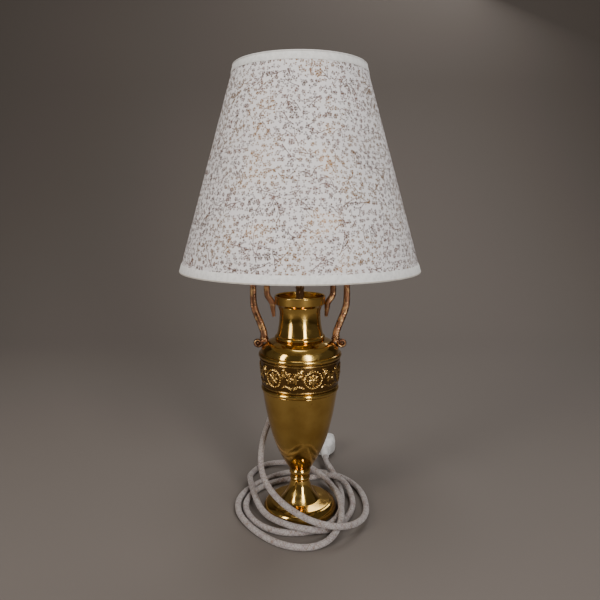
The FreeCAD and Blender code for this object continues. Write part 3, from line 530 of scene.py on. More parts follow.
def swept(made, line, around, section, side):
    """Adds a tube to a bmesh; section(part, angle) gives its offsets (side, across) there."""
    rings = []
    count = len(line) - 1
    for i, ((way, aside), point) in enumerate(zip(carried_frames(line, side), line)):
        across = way.cross(aside)
        ring = []
        for k in range(around):
            out, over = section(i / count, 2 * math.pi * k / around)
            ring.append(made.verts.new(point + aside * out + across * over))
        rings.append(ring)
    for low, high in zip(rings, rings[1:]):
        for k in range(around):
            after = (k + 1) % around
            made.faces.new((low[k], low[after], high[after], high[k]))
    made.faces.new(rings[0][::-1])
    made.faces.new(rings[-1])
    return rings


ARM_ROUTE = [
    (33.4, 0, 264.5), (33.8, 0, 269), (34.6, 0, 276), (35.0, 0, 282), (38.2, 0, 287), (42.0, 0, 292),
    (42.0, 0, 301), (42.0, 0, 311), (42.4, 0, 319.8), (50.6, 0, 321.6), (58.9, 0, 319.8), (59.3, 0, 311),
    (59.5, 0, 300), (59.6, 0, 288), (58.9, 0, 278), (55.8, 0, 268), (51.6, 0, 258), (48.0, 0, 248),
    (46.2, 0, 243), (46.2, 0, 236), (45.0, 0, 231.5),
]
VOLUTE_CENTRE = (54.0, 230.2)
HANDLE_RINGS = (((46.2, 238.6), 0.9, 4.5), ((46.0, 236.0), 1.1, 5.1), ((34.9, 281.6), 1.1, 4.1))


def arm_section(part, angle):
    """A flattened bar with rows of scales, slim at its tail and swelling down the outer arm."""
    grown = min(1.0, 0.55 + part * 5)
    wide = (3.5 + 0.5 * min(1.0, max(0.0, part - 0.5) * 4)) * grown
    deep = 3.6 * grown
    c, s = math.cos(angle), math.sin(angle)
    square = (abs(c) ** 3.2 + abs(s) ** 3.2) ** (-1 / 3.2)
    row = part * 92
    offset = 0.5 * (int(row) % 2)
    cell = (angle / (2 * math.pi) * 12 + offset) % 1.0
    scale = (row % 1.0) * (1 - (2 * cell - 1) ** 2)
    lift = 1 + 0.16 * scale * min(1.0, part * 7)
    return wide * square * c * lift * MM, deep * square * s * lift * MM


def handle(name, node, turn):
    """One cast handle, turned about the lamp's axis."""
    made = bmesh.new()
    line, _ = even_steps([Vector(point) * MM for point in read_line(ARM_ROUTE)], 0.00042)
    swept(made, line, 40, arm_section, Vector((1, 0, 0)))
    spiral = []
    for i in range(110):
        turned_by = 2.9 * math.pi * i / 109
        reach = 1.1 + 4.2 * (1 - i / 109) ** 0.8
        angle = math.radians(150) + turned_by
        spiral.append(Vector((VOLUTE_CENTRE[0] + reach * math.cos(angle), 0,
                              VOLUTE_CENTRE[1] + reach * math.sin(angle))) * MM)
    start = [Vector((45.6, 0, 235.6)) * MM, Vector((46.6, 0, 233.8)) * MM, Vector((48.2, 0, 232.6)) * MM]
    curl, _ = even_steps(start + spiral, 0.00035)

    def curl_section(part, angle):
        size = 2.5 - 0.9 * part
        return size * math.cos(angle) * MM, size * 1.75 * math.sin(angle) * MM

    swept(made, curl, 22, curl_section, Vector((1, 0, 0)))
    for place, thickness, width in HANDLE_RINGS:
        ring = []
        for i in range(41):
            angle = 2 * math.pi * i / 40
            ring.append(Vector((place[0] + width * 0.93 * math.cos(angle), width * math.sin(angle),
                                place[1] + 0.5 * math.cos(angle))) * MM)
        swept(made, ring, 10,
              lambda part, angle, t=thickness: (t * math.cos(angle) * MM, t * math.sin(angle) * MM),
              Vector((0, 0, 1)))
    for sign in (-1, 1):
        stud = Matrix.Translation(Vector((VOLUTE_CENTRE[0], sign * 4.2, VOLUTE_CENTRE[1])) * MM)
        bmesh.ops.create_uvsphere(made, u_segments=18, v_segments=10, radius=1.7 * MM, matrix=stud)
    bmesh.ops.rotate(made, verts=made.verts, cent=(0, 0, 0), matrix=Matrix.Rotation(turn, 3, "Z"))
    bmesh.ops.recalc_face_normals(made, faces=made.faces)
    mesh = bpy.data.meshes.new(name)
    made.to_mesh(mesh)
    made.free()
    smooth_mesh(mesh, 60)
    return dress(add_object(name, mesh), CAST_BRASS, "lamp", [node])


handle("right_handle_cast", "right_handle", 0)
handle("left_handle_cast", "left_handle", math.pi)


# ---- shade: printed fabric, lining, edge tapes ---------------------------------------------------

SHADE_LOW, SHADE_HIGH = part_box("shade_shell")
SHADE_BOTTOM_R = 148.9
SHADE_TOP_R = 79.1
SHADE_HEIGHT = (SHADE_HIGH.z - SHADE_LOW.z) / MM
SLANT = math.hypot(SHADE_HEIGHT, SHADE_BOTTOM_R - SHADE_TOP_R)
APEX_TO_BOTTOM = SLANT * SHADE_BOTTOM_R / (SHADE_BOTTOM_R - SHADE_TOP_R)
FLAT_TURN = SHADE_BOTTOM_R / APEX_TO_BOTTOM


def printed_fabric():
    """Off-white cotton in a plain weave."""
    made, tree, shader = plain_material("printed_fabric", (0.80, 0.76, 0.75), 0.84)
    flat = add_node(tree, "ShaderNodeUVMap", uv_map="cut").outputs[0]
    clouds = ramp(tree, noise(tree, 14, 3, flat), 0.35, 0.7)
    ground = mix_colour(tree, clouds, (0.82, 0.78, 0.77), (0.76, 0.72, 0.71))
    slubs = ramp(tree, noise(tree, 900, 3, flat), 0.5, 0.75, 0.0, 0.35)
    tree.links.new(mix_colour(tree, slubs, ground, (0.62, 0.57, 0.55)), shader.inputs["Base Color"])
    shader.inputs["Sheen Weight"].default_value = 0.15
    threads = add_node(tree, "ShaderNodeSeparateXYZ", {0: flat})
    warp = math_node(tree, "SINE", math_node(tree, "MULTIPLY", threads.outputs[0], 9500))
    weft = math_node(tree, "SINE", math_node(tree, "MULTIPLY", threads.outputs[1], 9500))
    under = bump(tree, shader, math_node(tree, "MULTIPLY", warp, weft), 0.00008, 0.5)
    bump(tree, shader, noise(tree, 32, 3, flat), 0.0008, 0.25, under)
    return made


def printed_ink():
    """Brown ink, mauve in places and bronze in others, thin where the weave shows through."""
    made, tree, shader = plain_material("printed_ink", (0.25, 0.17, 0.13), 0.6)
    patches = ramp(tree, noise(tree, 55, 3), 0.38, 0.62)
    tone = mix_colour(tree, patches, (0.085, 0.036, 0.018), (0.18, 0.095, 0.070))
    bronze = ramp(tree, noise(tree, 26, 2), 0.46, 0.60)
    inked = mix_colour(tree, bronze, tone, (0.25, 0.125, 0.035))
    worn = ramp(tree, noise(tree, 800, 3), 0.56, 0.78, 0.0, 0.35)
    tree.links.new(mix_colour(tree, worn, inked, (0.55, 0.50, 0.47)), shader.inputs["Base Color"])
    tree.links.new(math_node(tree, "MULTIPLY", bronze, 0.5), shader.inputs["Metallic"])
    tree.links.new(ramp(tree, bronze, 0.0, 1.0, 0.68, 0.42), shader.inputs["Roughness"])
    bump(tree, shader, noise(tree, 1500, 2), 0.0001, 0.4)
    return made


def woven_tape(name, colour):
    """Plain cotton tape with a visible weave."""
    made, tree, shader = plain_material(name, colour, 0.86)
    darker = tuple(0.86 * channel for channel in colour)
    tone = mix_colour(tree, ramp(tree, noise(tree, 220, 4), 0.35, 0.7), colour, darker)
    tree.links.new(tone, shader.inputs["Base Color"])
    shader.inputs["Sheen Weight"].default_value = 0.2
    rings = noise(tree, 1.0, 1, object_coords(tree, (900, 900, 1800)))
    bump(tree, shader, rings, 0.00025, 0.6)
    return made


def lining_card():
    made, tree, shader = plain_material("lining_card", (0.90, 0.88, 0.83), 0.45)
    bump(tree, shader, noise(tree, 60, 3), 0.0003, 0.3)
    tone = mix_colour(tree, ramp(tree, noise(tree, 25, 3), 0.35, 0.7), (0.90, 0.88, 0.83), (0.84, 0.81, 0.74))
    tree.links.new(tone, shader.inputs["Base Color"])
    return made


def shade_radius(level, extra=0.0):
    """The shade's outer radius at a height above its lower edge, in millimetres."""
    return SHADE_BOTTOM_R + extra - (SHADE_BOTTOM_R - SHADE_TOP_R) * level / SHADE_HEIGHT


def cone_sheet(name, inset, sides, rows, outward):
    """One layer of the shade, with the flat cut in its UV map in metres."""
    made = bmesh.new()
    cut = made.loops.layers.uv.new("cut")
    grid = []
    for j in range(rows + 1):
        level = SHADE_HEIGHT * j / rows
        radius = shade_radius(level, -inset)
        ring = []
        for i in range(sides):
            angle = 2 * math.pi * i / sides + math.pi / 2
            ring.append(made.verts.new((radius * MM * math.cos(angle), radius * MM * math.sin(angle),
                                        SHADE_LOW.z + level * MM)))
        grid.append(ring)
    for j in range(rows):
        for i in range(sides):
            after = (i + 1) % sides
            corners = [(j, i, i), (j, after, i + 1), (j + 1, after, i + 1), (j + 1, i, i)]
            face = made.faces.new([grid[row][column] for row, column, _ in corners])
            for loop, (row, _, step) in zip(face.loops, corners):
                reach = (APEX_TO_BOTTOM - SLANT * row / rows) * MM
                turn = FLAT_TURN * 2 * math.pi * step / sides
                loop[cut].uv = (reach * math.sin(turn), reach * math.cos(turn))
    if not outward:
        bmesh.ops.reverse_faces(made, faces=made.faces)
    mesh = bpy.data.meshes.new(name)
    made.to_mesh(mesh)
    made.free()
    mesh.shade_smooth()
    return add_object(name, mesh)


PETAL = ((0, 0), (0.45, 0.5), (0.85, 0.36), (1, 0), (0.85, -0.36), (0.45, -0.5))


def petal_shape(x, y, way, length, width):
    """A rounded petal or leaf from (x, y) along its way."""
    c, s = math.cos(way), math.sin(way)
    return [(x + length * a * c - width * b * s, y + length * a * s + width * b * c) for a, b in PETAL]


def hollow(shape, share):
    """Only the outline of a shape, as a ring of quads."""
    middle_x = sum(point[0] for point in shape) / len(shape)
    middle_y = sum(point[1] for point in shape) / len(shape)
    inner = [(middle_x + (x - middle_x) * share, middle_y + (y - middle_y) * share) for x, y in shape]
    count = len(shape)
    return [[shape[i], shape[(i + 1) % count], inner[(i + 1) % count], inner[i]] for i in range(count)]


def sprig():
    """Three to five small petals round a point, most of them only outlined."""
    shapes = []
    count = random.choice((3, 3, 4, 5))
    size = random.uniform(1.9, 2.6)
    turn = random.uniform(0, 2 * math.pi)
    for i in range(count):
        way = turn + 2 * math.pi * i / count + random.uniform(-0.25, 0.25)
        petal = petal_shape(0.25 * math.cos(way), 0.25 * math.sin(way), way, size, 0.78 * size)
        shapes += hollow(petal, 0.5) if i % 2 == 0 else [petal]
    return shapes


def stem_line(x, y, way, bend, count):
    """Points and headings of a bent stem."""
    line = []
    for _ in range(count):
        line.append((x, y, way))
        x += 1.7 * math.cos(way)
        y += 1.7 * math.sin(way)
        way += bend + random.gauss(0, 0.10)
    return line


def stem_shapes(line, width):
    """A stem as quads that grow thinner along it."""
    shapes = []
    count = len(line)
    for i in range(count - 1):
        quad = []
        for (x, y, way), step in ((line[i], i), (line[i + 1], i + 1)):
            half = width * (1 - 0.5 * step / count)
            sides = [(x - half * math.sin(way), y + half * math.cos(way)),
                     (x + half * math.sin(way), y - half * math.cos(way))]
            quad += sides if step == i else sides[::-1]
        shapes.append(quad)
    return shapes


def twig():
    """A bent twig with one or two side shoots and a leaf at each tip."""
    bend = random.choice((-1, 1)) * random.uniform(0.04, 0.14)
    main = stem_line(0, 0, random.uniform(0, 2 * math.pi), bend, random.randint(8, 13))
    shapes = stem_shapes(main, 0.42)
    tips = [main[-1]]
    for _ in range(random.choice((1, 2, 2))):
        x, y, way = main[random.randint(2, len(main) - 3)]
        side = random.choice((-1, 1))
        shoot = stem_line(x, y, way + side * 0.8, -side * 0.10, random.randint(4, 6))
        shapes += stem_shapes(shoot, 0.34)
        tips.append(shoot[-1])
    for x, y, way in tips:
        shapes.append(petal_shape(x, y, way, 2.6, 1.5))
    return shapes


def shade_print():
    """The print over the whole shade, as thin inked shapes that lie on the fabric."""
    points, faces = [], []

    def lay(angle, up, shapes):
        proud = random.uniform(0.03, 0.08)
        spread = shade_radius(up * SHADE_HEIGHT / SLANT)
        for shape in shapes:
            first = len(points)
            for dx, dy in shape:
                level = min(max(up + dy, 3.0), SLANT - 3.0) * SHADE_HEIGHT / SLANT
                radius = shade_radius(level, proud) * MM
                turn = angle + dx / spread
                points.append((radius * math.cos(turn), radius * math.sin(turn), SHADE_LOW.z + level * MM))
            faces.append(range(first, len(points)))

    for pitch, motif in ((21.0, twig), (5.8, sprig)):
        for row in range(int((SLANT - 12) / pitch) + 1):
            up = 6 + pitch * (row + 0.5)
            if up > SLANT - 6:
                continue
            around = int(2 * math.pi * shade_radius(up * SHADE_HEIGHT / SLANT) / pitch)
            for i in range(around):
                lay(2 * math.pi * (i + 0.5 * (row % 2) + random.uniform(-0.35, 0.35)) / around,
                    up + random.uniform(-0.35, 0.35) * pitch, motif())
    mesh = bpy.data.meshes.new("shade_print")
    mesh.from_pydata(points, [], faces)
    return add_object("shade_print", mesh)


fabric = cone_sheet("shade_fabric", 0.0, 192, 16, True)
dress(fabric, printed_fabric(), "shade", ["shade_shell"])
inked = dress(shade_print(), printed_ink(), "shade", ["shade_shell"])
lining = cone_sheet("shade_lining", 1.0, 192, 8, False)
dress(lining, lining_card(), "shade", ["shade_shell"])

TAPE = woven_tape("white_tape", (0.83, 0.81, 0.77))
TOP_EDGING = woven_tape("grey_edging", (0.70, 0.67, 0.63))
LOW_EDGING = woven_tape("tan_edging", (0.50, 0.44, 0.36))


def shade_tape(name, node, low, high, edge_level, bead, cord_cloth):
    """A tape round an edge of the shade, turned over the rim, with a thin cord along the rim."""
    corners = []
    middle = (low + high) / 2
    for level, stand in ((low, 0.35), (low + 0.6, 0.62), (middle, 0.72), (high - 0.6, 0.62), (high, 0.35)):
        corners.append(Vector((shade_radius(level, stand), level)))
    for level in (high, low):
        corners.append(Vector((shade_radius(level, -1.6), level)))
    lifted = [Vector((point.x, point.y + SHADE_LOW.z / MM)) for point in corners]
    mesh = spin_mesh(name, lifted, 192)
    smooth_mesh(mesh, 40)
    tape = dress(add_object(name, mesh), TAPE, "shade", [node])
    rim = []
    for i in range(10):
        angle = 2 * math.pi * i / 10
        rim.append(Vector((shade_radius(edge_level, 0.1) + bead * math.cos(angle),
                           SHADE_LOW.z / MM + edge_level + bead * math.sin(angle))))
    rim_mesh = spin_mesh(name + "_edging", rim, 192)
    rim_mesh.shade_smooth()
    edging = dress(add_object(name + "_edging", rim_mesh), cord_cloth, "shade", [node])
    return tape, edging


bottom_tape = shade_tape("bottom_tape", "bottom_edge_band", 0.0, 10.0, 0.75, 0.75, LOW_EDGING)
top_tape = shade_tape("top_tape", "top_edge_band", SHADE_HEIGHT - 10, SHADE_HEIGHT,
                      SHADE_HEIGHT - 1.1, 1.1, TOP_EDGING)


# ---- lampholder, bulb and ring nut ---------------------------------------------------------------

turned("holder_cap", [
    (4.82, 0), (7.5, 0), (7.5, 4.5, 2.0), (19.5, 15), (19.5, 22), (17.9, 22), (17.9, 15.6, -2.0), (7.1, 6.5),
    (4.82, 6.5),
], HOLDER_BRASS, edge=0.3, sides=96)


def thread_outline(radius, start, end, pitch, depth):
    """A rounded thread's outline from start up to end."""
    points = []
    turns = int((end - start) / pitch)
    for i in range(turns * 8 + 1):
        level = start + i * pitch / 8
        points.append((radius - depth * (0.5 + 0.5 * math.cos(2 * math.pi * i / 8)), level))
    return points


turned("holder_skirt", [
    (17.9, 0), (19.5, 0), (19.5, 11), (25.5, 11), (25.5, 13.5), (19.5, 13.5),
    *thread_outline(19.5, 15, 39, 2.4, 0.7), (19.0, 41), (17.9, 41),
], HOLDER_BRASS, edge=0.25, sides=96)
turned("bulb_cap", [
    (0.01, 0), (4.6, 0), (10.15, 2.5), *thread_outline(13.15, 5, 19.4, 3.6, 1.1), (13.0, 24), (0.01, 24),
], ALUMINIUM, body="bulb", edge=0.0, sides=72)


def frosted_glass():
    made, tree, shader = plain_material("frosted_glass", (0.95, 0.94, 0.91), 0.38)
    shader.inputs["Transmission Weight"].default_value = 0.35
    shader.inputs["IOR"].default_value = 1.45
    tone = mix_colour(tree, ramp(tree, noise(tree, 30, 3), 0.35, 0.7), (0.95, 0.94, 0.91), (0.90, 0.89, 0.86))
    tree.links.new(tone, shader.inputs["Base Color"])
    bump(tree, shader, noise(tree, 1400, 2), 0.00005, 0.4)
    return made


turned("bulb_glass", [
    (11.4, 0), (12.9, 0), (14.4, 9, 4.0), (30, 55, 8.787), (0.01, 85), (0.01, 84), (29, 55, -4.0), (13.4, 9),
], frosted_glass(), body="bulb", edge=0.0, sides=96)


def knurled_nut():
    """The ring nut, with ribs to grip it by."""
    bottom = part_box("shade_ring_nut")[0].z / MM
    made = bmesh.new()
    sides = 240
    outline = [(19.8, 0), (25.7, 0), (26.0, 0.4), (26.0, 2.2), (25.6, 2.6), (23.6, 3.4), (23.6, 10.6),
               (23.1, 11), (19.8, 11)]
    rings = []
    for radius, level in outline:
        ring = []
        for k in range(sides):
            angle = 2 * math.pi * k / sides
            ribbed = 0.55 * max(0.0, math.cos(angle * 40)) if 23 < radius < 24 and level > 3 else 0.0
            ring.append(made.verts.new(((radius - ribbed) * MM * math.cos(angle),
                                        (radius - ribbed) * MM * math.sin(angle), (bottom + level) * MM)))
        rings.append(ring)
    for low, high in zip(rings, rings[1:] + rings[:1]):
        for k in range(sides):
            after = (k + 1) % sides
            made.faces.new((low[k], low[after], high[after], high[k]))
    bmesh.ops.recalc_face_normals(made, faces=made.faces)
    mesh = bpy.data.meshes.new("shade_ring_nut_knurled")
    made.to_mesh(mesh)
    made.free()
    smooth_mesh(mesh, 40)
    dress(add_object("shade_ring_nut_knurled", mesh), HOLDER_BRASS, "ring_nut",
          ["shade_ring_nut"])


knurled_nut()


# ---- braided cord --------------------------------------------------------------------------------

OUTLET_WAY = Vector((-0.33, 0.13, -0.935)).normalized()
OUTLET_AZIMUTH = math.radians(130)
OUTLET_POINT = Vector((44.6 * math.cos(OUTLET_AZIMUTH), 44.6 * math.sin(OUTLET_AZIMUTH), 148.0))
FLOOR = 4.05
CORD_START = OUTLET_POINT + OUTLET_WAY * 34
CORD_ROUTE = [
    tuple(CORD_START), tuple(CORD_START + OUTLET_WAY * 14),
    (-50.5, 38, 87), (-53.5, 30, 73), (-54, 17.5, 62), (-52, 2, 54), (-46.5, -15, 47),
    (-36.5, -33, 40.5), (-22, -50, 34), (-3, -65, 28), (18, -76, 23.5), (40, -79.5, 20),
    (61, -70, 15), (78, -49, 10), (87.5, -21, 5.5), (90, 8, FLOOR), (87, 37, FLOOR),
    (77, 63, FLOOR), (60.5, 84, FLOOR), (38, 96, FLOOR), (13, 101, FLOOR), (-12, 99, FLOOR),
    (-34, 89, FLOOR), (-51, 74, FLOOR), (-66, 56.5, FLOOR), (-79, 36, FLOOR), (-85, 12, FLOOR),
    (-83, -12, FLOOR), (-75, -33, FLOOR), (-62, -54, FLOOR), (-46, -73, FLOOR), (-27, -89, FLOOR),
    (-5, -98, FLOOR), (17, -97, FLOOR), (35, -86, 5.5), (46.5, -69, 9.5), (52.5, -50, 13),
    (54, -29, 13), (54.5, -8, 13), (52.5, 13, 13), (46.5, 34.5, 13), (36, 54.5, 16.5), (24, 73, 18),
    (13.5, 92, 15.5), (3, 109.5, 12), (-11, 122.5, 8), (-28.5, 129, 5), (-47, 127, FLOOR),
    (-62.5, 116, FLOOR), (-71, 99, FLOOR), (-74, 80, 8), (-73, 61, 12.9), (-69, 41, 13),
    (-64.5, 21, 12.8), (-59, 1, 11), (-51, -20, 9), (-39.5, -39.5, 9.5), (-25, -57, 12.9),
    (-8, -68.5, 13.2), (11.5, -72.5, 12), (30.5, -67, 7), (46, -55, FLOOR), (58, -38, FLOOR),
    (67, -18.5, FLOOR), (72, 2.5, FLOOR), (72, 24, 5), (67.5, 43, 10.5), (57.5, 58, 14.5),
    (43, 68, 14.5), (25, 74, 8.5), (5, 77, FLOOR), (-16, 75.5, FLOOR), (-36, 67.5, FLOOR),
    (-53, 54, FLOOR), (-66, 36, FLOOR), (-73.5, 14, FLOOR), (-73, -8, FLOOR), (-66, -28, FLOOR),
    (-54.5, -46, FLOOR), (-39, -59, FLOOR), (-20.5, -66.5, FLOOR), (-1, -67, FLOOR),
    (18, -62, FLOOR), (34.5, -51, FLOOR), (47, -35, FLOOR), (54, -15, FLOOR), (57, 6, FLOOR),
    (58.5, 27, FLOOR), (57.5, 47, FLOOR), (54, 66, 5.5), (49, 83.5, 12), (43.5, 100, 14),
    (40, 116, 13.5), (40, 131, 13.5),
]
CORD_RADIUS = 4.0
STRANDS = 24


def braided_cotton():
    """A braid of off-white yarns with brown and lilac ones among them, and painted shade in the grooves
    between the yarns.
    """
    made, tree, shader = plain_material("braided_cotton", (0.66, 0.62, 0.58), 0.85)
    place = add_node(tree, "ShaderNodeUVMap", uv_map="braid").outputs[0]
    axes = add_node(tree, "ShaderNodeSeparateXYZ", {0: place})
    along = math_node(tree, "MULTIPLY", axes.outputs[0], 600.0)
    around = math_node(tree, "MULTIPLY", axes.outputs[1], STRANDS / 2)
    right = math_node(tree, "ADD", along, around)
    left = math_node(tree, "SUBTRACT", along, around)

    def wave(value, turn):
        return math_node(tree, "SINE", math_node(tree, "MULTIPLY", value, turn))

    ridge_right = math_node(tree, "ABSOLUTE", wave(right, math.pi))
    ridge_left = math_node(tree, "ABSOLUTE", wave(left, math.pi))
    over = math_node(tree, "GREATER_THAN", wave(along, 2 * math.pi), 0.0)
    under = math_node(tree, "SUBTRACT", 1.0, over)
    height = math_node(tree, "ADD", math_node(tree, "MULTIPLY", ridge_right, over),
                       math_node(tree, "MULTIPLY", ridge_left, under))
    yarn_right = add_node(tree, "ShaderNodeTexWhiteNoise", {
        "W": math_node(tree, "FLOOR", right)}, noise_dimensions="1D").outputs["Value"]
    yarn_left = add_node(tree, "ShaderNodeTexWhiteNoise", {
        "W": math_node(tree, "ADD", math_node(tree, "FLOOR", left), 900.5),
    }, noise_dimensions="1D").outputs["Value"]
    yarn = math_node(tree, "ADD", math_node(tree, "MULTIPLY", yarn_right, over),
                     math_node(tree, "MULTIPLY", yarn_left, under))
    dark = math_node(tree, "GREATER_THAN", yarn, 0.70)
    soiled = ramp(tree, noise(tree, 500, 4), 0.35, 0.65)
    pale = mix_colour(tree, soiled, (0.50, 0.45, 0.42), (0.36, 0.31, 0.29))
    lilac = ramp(tree, noise(tree, 260, 2), 0.4, 0.6)
    brown = mix_colour(tree, lilac, (0.26, 0.18, 0.14), (0.32, 0.25, 0.26))
    tone = mix_colour(tree, dark, pale, brown)
    # painted shade: the colour darkens towards dark brown in the low grooves between the yarns
    painted_groove_shade = ramp(tree, height, 0.0, 0.45, 0.45, 0.0)
    tree.links.new(mix_colour(tree, painted_groove_shade, tone, (0.20, 0.16, 0.14)), shader.inputs["Base Color"])
    shader.inputs["Sheen Weight"].default_value = 0.25
    under_bump = bump(tree, shader, height, 0.0005, 0.9)
    bump(tree, shader, noise(tree, 3000, 2), 0.0001, 0.4, under_bump)
    return made


def cord_tube(name, route, radius, around):
    """A tube along the route's smooth line, with length and turn in its UV map."""
    line, length = even_steps([Vector(point) * MM for point in read_line(route, 14)], 0.002)
    made = bmesh.new()
    rings = swept(made, line, around, lambda part, angle: (radius * math.cos(angle) * MM,
                                                           radius * math.sin(angle) * MM), Vector((0, 1, 0)))
    braid = made.loops.layers.uv.new("braid")
    spot = {}
    for i, ring in enumerate(rings):
        for k, vertex in enumerate(ring):
            spot[vertex] = (i, k)
    for face in made.faces:
        ks = [spot[loop.vert][1] for loop in face.loops]
        wraps = max(ks) - min(ks) > around / 2
        for loop in face.loops:
            i, k = spot[loop.vert]
            loop[braid].uv = (length * i / (len(rings) - 1), (k + around if wraps and k == 0 else k) / around)
    mesh = bpy.data.meshes.new(name)
    made.to_mesh(mesh)
    made.free()
    smooth_mesh(mesh, 70)
    return add_object(name, mesh), line, length


cord, cord_line, cord_length = cord_tube("braided_cord_tube", CORD_ROUTE, CORD_RADIUS, 24)
dress(cord, braided_cotton(), "lamp", ["braided_cord"])
print("cord length %.4f m" % cord_length)


# ---- outlet, sleeve and plug ---------------------------------------------------------------------

def rubber(name, colour, roughness=0.55):
    made, tree, shader = plain_material(name, colour, roughness)
    bump(tree, shader, noise(tree, 900, 3), 0.0001, 0.4)
    darker = tuple(0.8 * channel for channel in colour)
    tone = mix_colour(tree, ramp(tree, noise(tree, 120, 3), 0.35, 0.7), colour, darker)
    tree.links.new(tone, shader.inputs["Base Color"])
    uneven = ramp(tree, noise(tree, 300, 2), 0.3, 0.7, roughness - 0.06, roughness + 0.1)
    tree.links.new(uneven, shader.inputs["Roughness"])
    return made


PLUG_PLASTIC = rubber("plug_plastic", (0.66, 0.64, 0.62), 0.42)
DARK_RUBBER = rubber("dark_rubber", (0.05, 0.045, 0.045))


def along_way(name, corners, start, way, material, node, sides=64):
    """A turned piece whose axis runs from start along way; heights are distances from start."""
    mesh = spin_mesh(name, full_outline(corners), sides)
    smooth_mesh(mesh)
    mesh.transform(Matrix.Translation(start * MM) @ way.to_track_quat("Z", "Y").to_matrix().to_4x4())
    return dress(add_object(name, mesh), material, "lamp", [node])


along_way("cord_outlet_turned", [
    (4.9, -14), (6.6, -14), (6.6, 8.5), (7.0, 9, 0.5), (7.0, 11.2), (6.4, 12), (4.9, 12),
], OUTLET_POINT, OUTLET_WAY, BRASS, "cord_outlet")
sleeve_outline = [(4.05, 4), (4.9, 4), (4.9, 12), (6.1, 12)]
for rib in range(6):
    level = 13.2 + 3.3 * rib
    size = 6.0 - 0.25 * rib
    sleeve_outline += [(size, level), (size - 0.7, level + 0.5), (size - 0.7, level + 1.2),
                       (size - 0.1, level + 1.7)]
sleeve_outline += [(4.5, 34), (4.05, 34)]
along_way("cord_sleeve_ribbed", sleeve_outline, OUTLET_POINT, OUTLET_WAY, DARK_RUBBER,
          "cord_sleeve")

PLUG_BACK = Vector((40, 131, 13.5))
neck_outline = [(4.05, 0), (4.6, 0)]
for rib in range(6):
    level = 1.2 + 3.3 * rib
    size = 4.9 + 0.32 * rib
    neck_outline += [(size, level), (size + 0.35, level + 0.5), (size + 0.35, level + 1.6),
                     (size - 0.3, level + 2.1)]
neck_outline += [(6.6, 22), (4.05, 22)]
plug_neck = along_way("plug_sleeve_ribbed", neck_outline, PLUG_BACK, Vector((0, 1, 0)), PLUG_PLASTIC,
                      "plug_sleeve")


def plug_shell():
    """The plug's body: slim at the cord, swelling to a flat face, with grip ridges on its sides."""
    made = bmesh.new()
    low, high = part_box("plug_body")
    middle = (low + high) / 2
    length = (high.y - low.y) / MM
    rings = []
    steps = 60
    for i in range(steps + 1):
        part = i / steps
        grow = math.sin(math.pi / 2 * min(1.0, 0.12 + part * 1.35))
        width = 7.0 + 11.0 * grow
        thick = 6.6 + 6.8 * grow
        ridge = 0.35 * math.sin(part * 60) if 0.25 < part < 0.75 else 0.0
        end = min(1.0, (1 - part) * length / 1.6)
        shrink = 1.6 * (1 - math.sqrt(max(0.0, 1 - (1 - end) ** 2)))
        ring = []
        for k in range(64):
            angle = 2 * math.pi * k / 64
            c, s = math.cos(angle), math.sin(angle)
            square = (abs(c) ** 4 + abs(s) ** 4) ** -0.25
            x = (width - shrink + ridge * abs(c)) * square * c
            z = (thick - shrink) * square * s
            ring.append(made.verts.new((middle.x + x * MM, low.y + part * length * MM, middle.z + z * MM)))
        rings.append(ring)
    for first, second in zip(rings, rings[1:]):
        for k in range(64):
            after = (k + 1) % 64
            made.faces.new((first[k], first[after], second[after], second[k]))
    made.faces.new(rings[0])
    made.faces.new(rings[-1])
    bmesh.ops.recalc_face_normals(made, faces=made.faces)
    mesh = bpy.data.meshes.new("plug_shell")
    made.to_mesh(mesh)
    made.free()
    smooth_mesh(mesh, 50)
    return dress(add_object("plug_shell", mesh), PLUG_PLASTIC, "lamp", ["plug_body"])


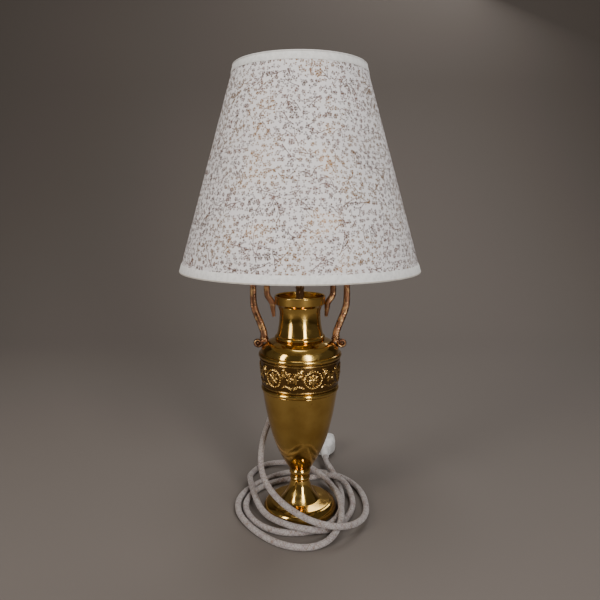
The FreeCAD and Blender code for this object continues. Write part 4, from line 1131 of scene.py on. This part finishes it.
def plug_pins():
    """Two round pins with insulated roots and rounded tips."""
    made = []
    low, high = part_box("plug_pins")
    for side, x in (("left", low.x / MM + 2.4), ("right", high.x / MM - 2.4)):
        start = Vector((x, low.y / MM, 13.5))
        pin = along_way("plug_pin_" + side, [(0.01, 0), (2.4, 0), (2.4, 17.2, 0.6), (0.01, 19)], start,
                        Vector((0, 1, 0)), NICKEL, "plug_pins", 32)
        made.append(pin)
        root = along_way("plug_pin_root_" + side, [(2.36, 0), (2.46, 0), (2.46, 9), (2.36, 9)], start,
                         Vector((0, 1, 0)), DARK_RUBBER, "plug_pins", 32)
        made.append(root)
    return made


plug = plug_shell()
pins = plug_pins()


# ---- remaining CAD parts -------------------------------------------------------------------------

def pressed_felt():
    made, tree, shader = plain_material("pressed_felt", (0.06, 0.10, 0.07), 0.95)
    tone = mix_colour(tree, noise(tree, 800, 4), (0.05, 0.09, 0.06), (0.09, 0.14, 0.10))
    tree.links.new(tone, shader.inputs["Base Color"])
    bump(tree, shader, noise(tree, 1500, 4), 0.0004, 0.8)
    return made


def porcelain():
    made, tree, shader = plain_material("porcelain", (0.86, 0.85, 0.81), 0.35)
    tone = mix_colour(tree, ramp(tree, noise(tree, 70, 3), 0.35, 0.7), (0.86, 0.85, 0.81), (0.78, 0.76, 0.71))
    tree.links.new(tone, shader.inputs["Base Color"])
    bump(tree, shader, noise(tree, 400, 3), 0.0001, 0.4)
    return made


WIRE_PAINT = rubber("wire_paint", (0.86, 0.85, 0.81), 0.38)
SWITCH_BLACK = rubber("switch_black", (0.025, 0.022, 0.02), 0.25)
CAD_FINISHES = {
    "felt": pressed_felt(), "weight_iron": IRON, "plated_steel": STEEL, "holder_brass": HOLDER_BRASS,
    "white_ceramic": porcelain(), "switch_plastic": SWITCH_BLACK, "bulb_metal": ALUMINIUM,
    "bulb_glass": porcelain(), "wire_paint": WIRE_PAINT,
}
slot_of = {entry["node"]: entry["material_slot"] for entry in frame["record"]["subparts"]}
for name, shown in frame["nodes"].items():
    if shown.hide_render:
        continue
    finish = ROD_BRASS if name in ("centre_rod", "stem_coupler") else CAD_FINISHES[slot_of[name]]
    for place in shown.material_slots:
        place.link = "OBJECT"
        place.material = finish
